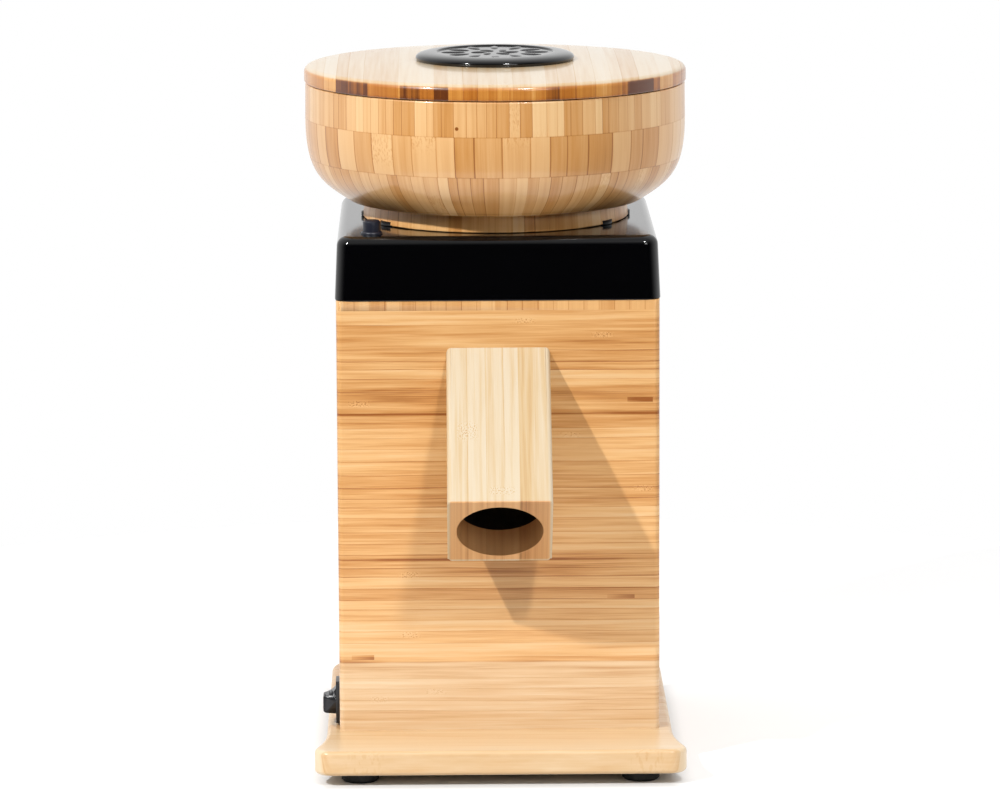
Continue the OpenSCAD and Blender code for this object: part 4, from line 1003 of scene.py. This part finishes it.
# %% Drill the cover, and turn its collar and screw bosses
BUTTON_AT, BUTTON_R = (-66.5, -69.2), 5.0
BOSS_AT = [(x, y) for y in (-47.0, 47.0) for x in (-68.0, 68.0)]
BOSS_R, BOSS_TOP, SCREW_R, SCREW_TOP = 5.0, 283.0, 1.6, 266.1
button_drill = drill(*BUTTON_AT, 276, 292, BUTTON_R)
cover_mesh = cut_out(loft("cover_shell", rings, loop=True), [button_drill])
cover = put_in_scene("cover_shell", smooth_normals(cover_mesh), gloss_black, "housing",
                     ["top_cover"])
collar_outline = [(BUTTON_R, 281.6), (5.85, 281.6), (5.85, 286.4), (5.6, 286.9), (5.2, 287.3),
                  (BUTTON_R, 287.4), (BUTTON_R, 281.6)]
turned("button_collar", collar_outline, button_blue, "housing", (), BUTTON_AT, 48)
boss_outline = [(SCREW_R, COVER_Z), (BOSS_R, COVER_Z), (BOSS_R, BOSS_TOP), (0.0, BOSS_TOP),
                (0.0, SCREW_TOP), (SCREW_R, SCREW_TOP), (SCREW_R, COVER_Z)]
for number, boss_at in enumerate(BOSS_AT, 1):
    turned(f"cover_boss_{number}", boss_outline, gloss_black, "housing", (), boss_at, 32)
print("cover faces:", len(cover.data.polygons), "bosses:", len(BOSS_AT))

# %% [markdown]
# ## The base board
# The board is cut to an outline with round rear corners and a toe that flares out to the
# front in two hollow curves, and then its edges are rounded over with a router. A bevel
# modifier could do that, but a loft of shrinking outlines keeps full control of the curve
# where the flare runs into the corner.

# %% Loft the base board
HALF, BACK, FRONT, TOE_HALF, FRONT_R, REAR_R = 92.5, 93.0, 133.8, 98.4, 9.0, 25.0
BOARD_LOW, BOARD_HIGH, ROUTED = 6.0, 19.4, 2.5
HOUSE_FRONT, FLARE = 85.7, TOE_HALF - HALF
RUN = FRONT - HOUSE_FRONT - FRONT_R
FLARE_R = ((FRONT_R - FLARE) ** 2 + RUN ** 2 - FRONT_R ** 2) / (2 * FLARE)
FLARE_A = math.degrees(math.asin(RUN / (FLARE_R + FRONT_R)))


def arc(cx, cy, radius, start, end, steps):
    turns = [math.radians(start + (end - start) * i / steps) for i in range(steps + 1)]
    return [(cx + radius * math.cos(a), cy + radius * math.sin(a)) for a in turns]


def board_ring(inset, z):
    side = (arc(HALF - REAR_R, BACK - REAR_R, REAR_R - inset, 90, 0, 16)
            + [(HALF - inset, y) for y in (40, 0, -50)]
            + arc(HALF + FLARE_R, -HOUSE_FRONT, FLARE_R + inset, 180, 180 + FLARE_A, 16)
            + arc(TOE_HALF - FRONT_R, FRONT_R - FRONT, FRONT_R - inset, FLARE_A - 5, -90, 14))
    return [(x, y, z) for x, y in side] + [(-x, y, z) for x, y in reversed(side)]


edge = [(ROUTED * (1 - math.sin(a)), ROUTED * (1 - math.cos(a)))
        for a in (math.radians(degrees) for degrees in range(0, 91, 15))]
board_rings = [board_ring(inset, BOARD_LOW + up) for inset, up in edge]
board_rings += [board_ring(inset, BOARD_HIGH - up) for inset, up in reversed(edge)]
board_mesh = loft("base_board_routed", board_rings, caps=True)
print("flare radius", round(FLARE_R, 1), "mm over", round(FLARE_A, 1), "degrees")

# %% Cut the base board's air slots and screw holes
SLOT_STEP, SCREW_LINE, SCREW_OFF = 9.6, 80.7, 45
SIGNS = [(x, y) for x in (-1, 1) for y in (-1, 1)]
slots = [saw(i * SLOT_STEP, 0, 12.7, 4, 60, 16) for i in range(-3, 4)]
screw_places = ([(x * SCREW_LINE, y * SCREW_OFF) for x, y in SIGNS]
                + [(x * SCREW_OFF, y * SCREW_LINE) for x, y in SIGNS])
board_cut = cut_out(board_mesh, slots + [drill(x, y, 5, 9.2, 3.8) for x, y in screw_places])
board = put_in_scene("base_board_routed", smooth_normals(board_cut), finishes["base_board"],
                     "housing", ["base_board"])
print("board faces:", len(board.data.polygons))

# %% [markdown]
# ## The adjusting thread
# The hopper's skirt screws into the neck of the milling chamber, and that is how the stones
# are set. The solid model leaves the thread plain. A helix with a small section is a path and
# a profile, which Geometry Nodes sweep in one step: a spiral curve goes in, and the section
# follows it.

# %% Cut the thread
THREAD_Z, THREAD_R, THREAD_LONG, TURNS, RIDGE = 271.0, 51.5, 13.5, 9.0, 0.42


def thread_tree(material):
    f = Shape("thread", Geometry="Geometry", Turns="Float", Radius="Float", Length="Float",
              Ridge="Float")
    helix = f.node("GeometryNodeCurveSpiral", Resolution=48, Rotations=f.given("Turns"),
                   Start_Radius=f.given("Radius"), End_Radius=f.given("Radius"),
                   Height=f.given("Length"))
    section = f.node("GeometryNodeCurvePrimitiveCircle", Resolution=6, Radius=f.given("Ridge"))
    swept = f.node("GeometryNodeCurveToMesh", Curve=helix, Profile_Curve=section, Fill_Caps=True)
    return f.end(swept, material)


thread_mesh = baked("skirt_thread", bpy.data.meshes.new("thread_seed"), thread_tree(satin_black),
                    {"Turns": TURNS, "Radius": THREAD_R * MM, "Length": THREAD_LONG * MM,
                     "Ridge": RIDGE * MM})
thread_mesh.transform(Matrix.Translation(mm(0, 0, THREAD_Z)))
thread = put_in_scene("skirt_thread", smooth_normals(outwards(thread_mesh), 50), satin_black,
                      "hopper")
print("thread faces:", len(thread.data.polygons))

# %% [markdown]
# ## The studio
# The mill stands on a round white table in front of white. The main light is a softbox high on
# the left, small enough to throw a clear shadow of the spout to the right. A weaker one on the
# right opens that shadow, and a large faint card lightens the front. The surroundings are
# bright behind and above the mill and dark in front of it, and the table ends a little way in
# front: polished black then stays black in front and mirrors white on its top. The table glows
# faintly, except under the base board, so that the ground is as white as the background.

# %% The table
TABLE_R, TABLE_EDGES = 0.62, 96
BOARD_MIDDLE_Y = -20.4


def grey(level):
    return [level, level, level, 1.0]


def disc(name, radius, steps):
    turns = [2 * math.pi * i / steps for i in range(steps)]
    mesh = bpy.data.meshes.new(name)
    mesh.from_pydata([(radius * math.cos(a), radius * math.sin(a), 0) for a in turns], [],
                     [list(range(steps))])
    return mesh


paper = Finish("white_table", Roughness=0.9, Specular_IOR_Level=0.1, Emission_Strength=0.38)
x, y, z = paper.position()
beside_board = x.abs().fade(88, 104).most((y - BOARD_MIDDLE_Y).abs().fade(110, 126))
paper.wire(paper.blend(beside_board, grey(0.0), grey(1.0)), paper.surface["Emission Color"])
paper.done(paper.blend(even_noise(paper, x, y, z, 0.01), grey(0.62), grey(0.65)))
table = in_scene("white_table", disc("white_table", TABLE_R, TABLE_EDGES))
cover_with(table, paper.material)
print("table radius:", TABLE_R, "m")

# %% Lights and surroundings
LOOK_AT_Z = 190


def softbox(name, direction, distance, size, power):
    """A square area light that looks at the middle of the mill."""
    data = bpy.data.lights.new(name, "AREA")
    data.shape, data.size, data.energy = "SQUARE", size, power
    light = in_scene(name, data)
    toward = Vector(direction).normalized()
    light.location = mm(0, 0, LOOK_AT_Z) + toward * distance
    light.rotation_euler = toward.to_track_quat("Z", "Y").to_euler()
    return light


lights = [softbox("key_softbox", (-1.02, -1.0, 1.12), 2.2, 0.06, 40.0),
          softbox("fill_softbox", (0.35, -1.0, 1.02), 2.4, 0.2, 26.5),
          softbox("front_card", (0.45, -1.0, 0.42), 2.6, 0.7, 8.0)]
world = bpy.data.worlds.new("studio_world")
bpy.context.scene.world = world
world.use_nodes = True
world.node_tree.nodes.clear()
sky = Tree(world.node_tree)
_, toward_back, upwards = sky.split(sky.node("ShaderNodeTexCoord", out="Generated"))
behind, above = toward_back.fade(-0.75, 0.35), upwards.fade(0.25, 0.9, 0.55)
dim = sky.node("ShaderNodeBackground", Color=(1, 1, 1, 1), Strength=behind.most(above))
white = sky.node("ShaderNodeBackground", Color=(1, 1, 1, 1), Strength=1.0)
seen = sky.node("ShaderNodeLightPath", out="Is Camera Ray")
sky.wire(sky.node("ShaderNodeMixShader", _0=seen, _1=dim, _2=white),
         sky.tree.nodes.new("ShaderNodeOutputWorld").inputs["Surface"])
print("lights:", [light.name for light in lights])
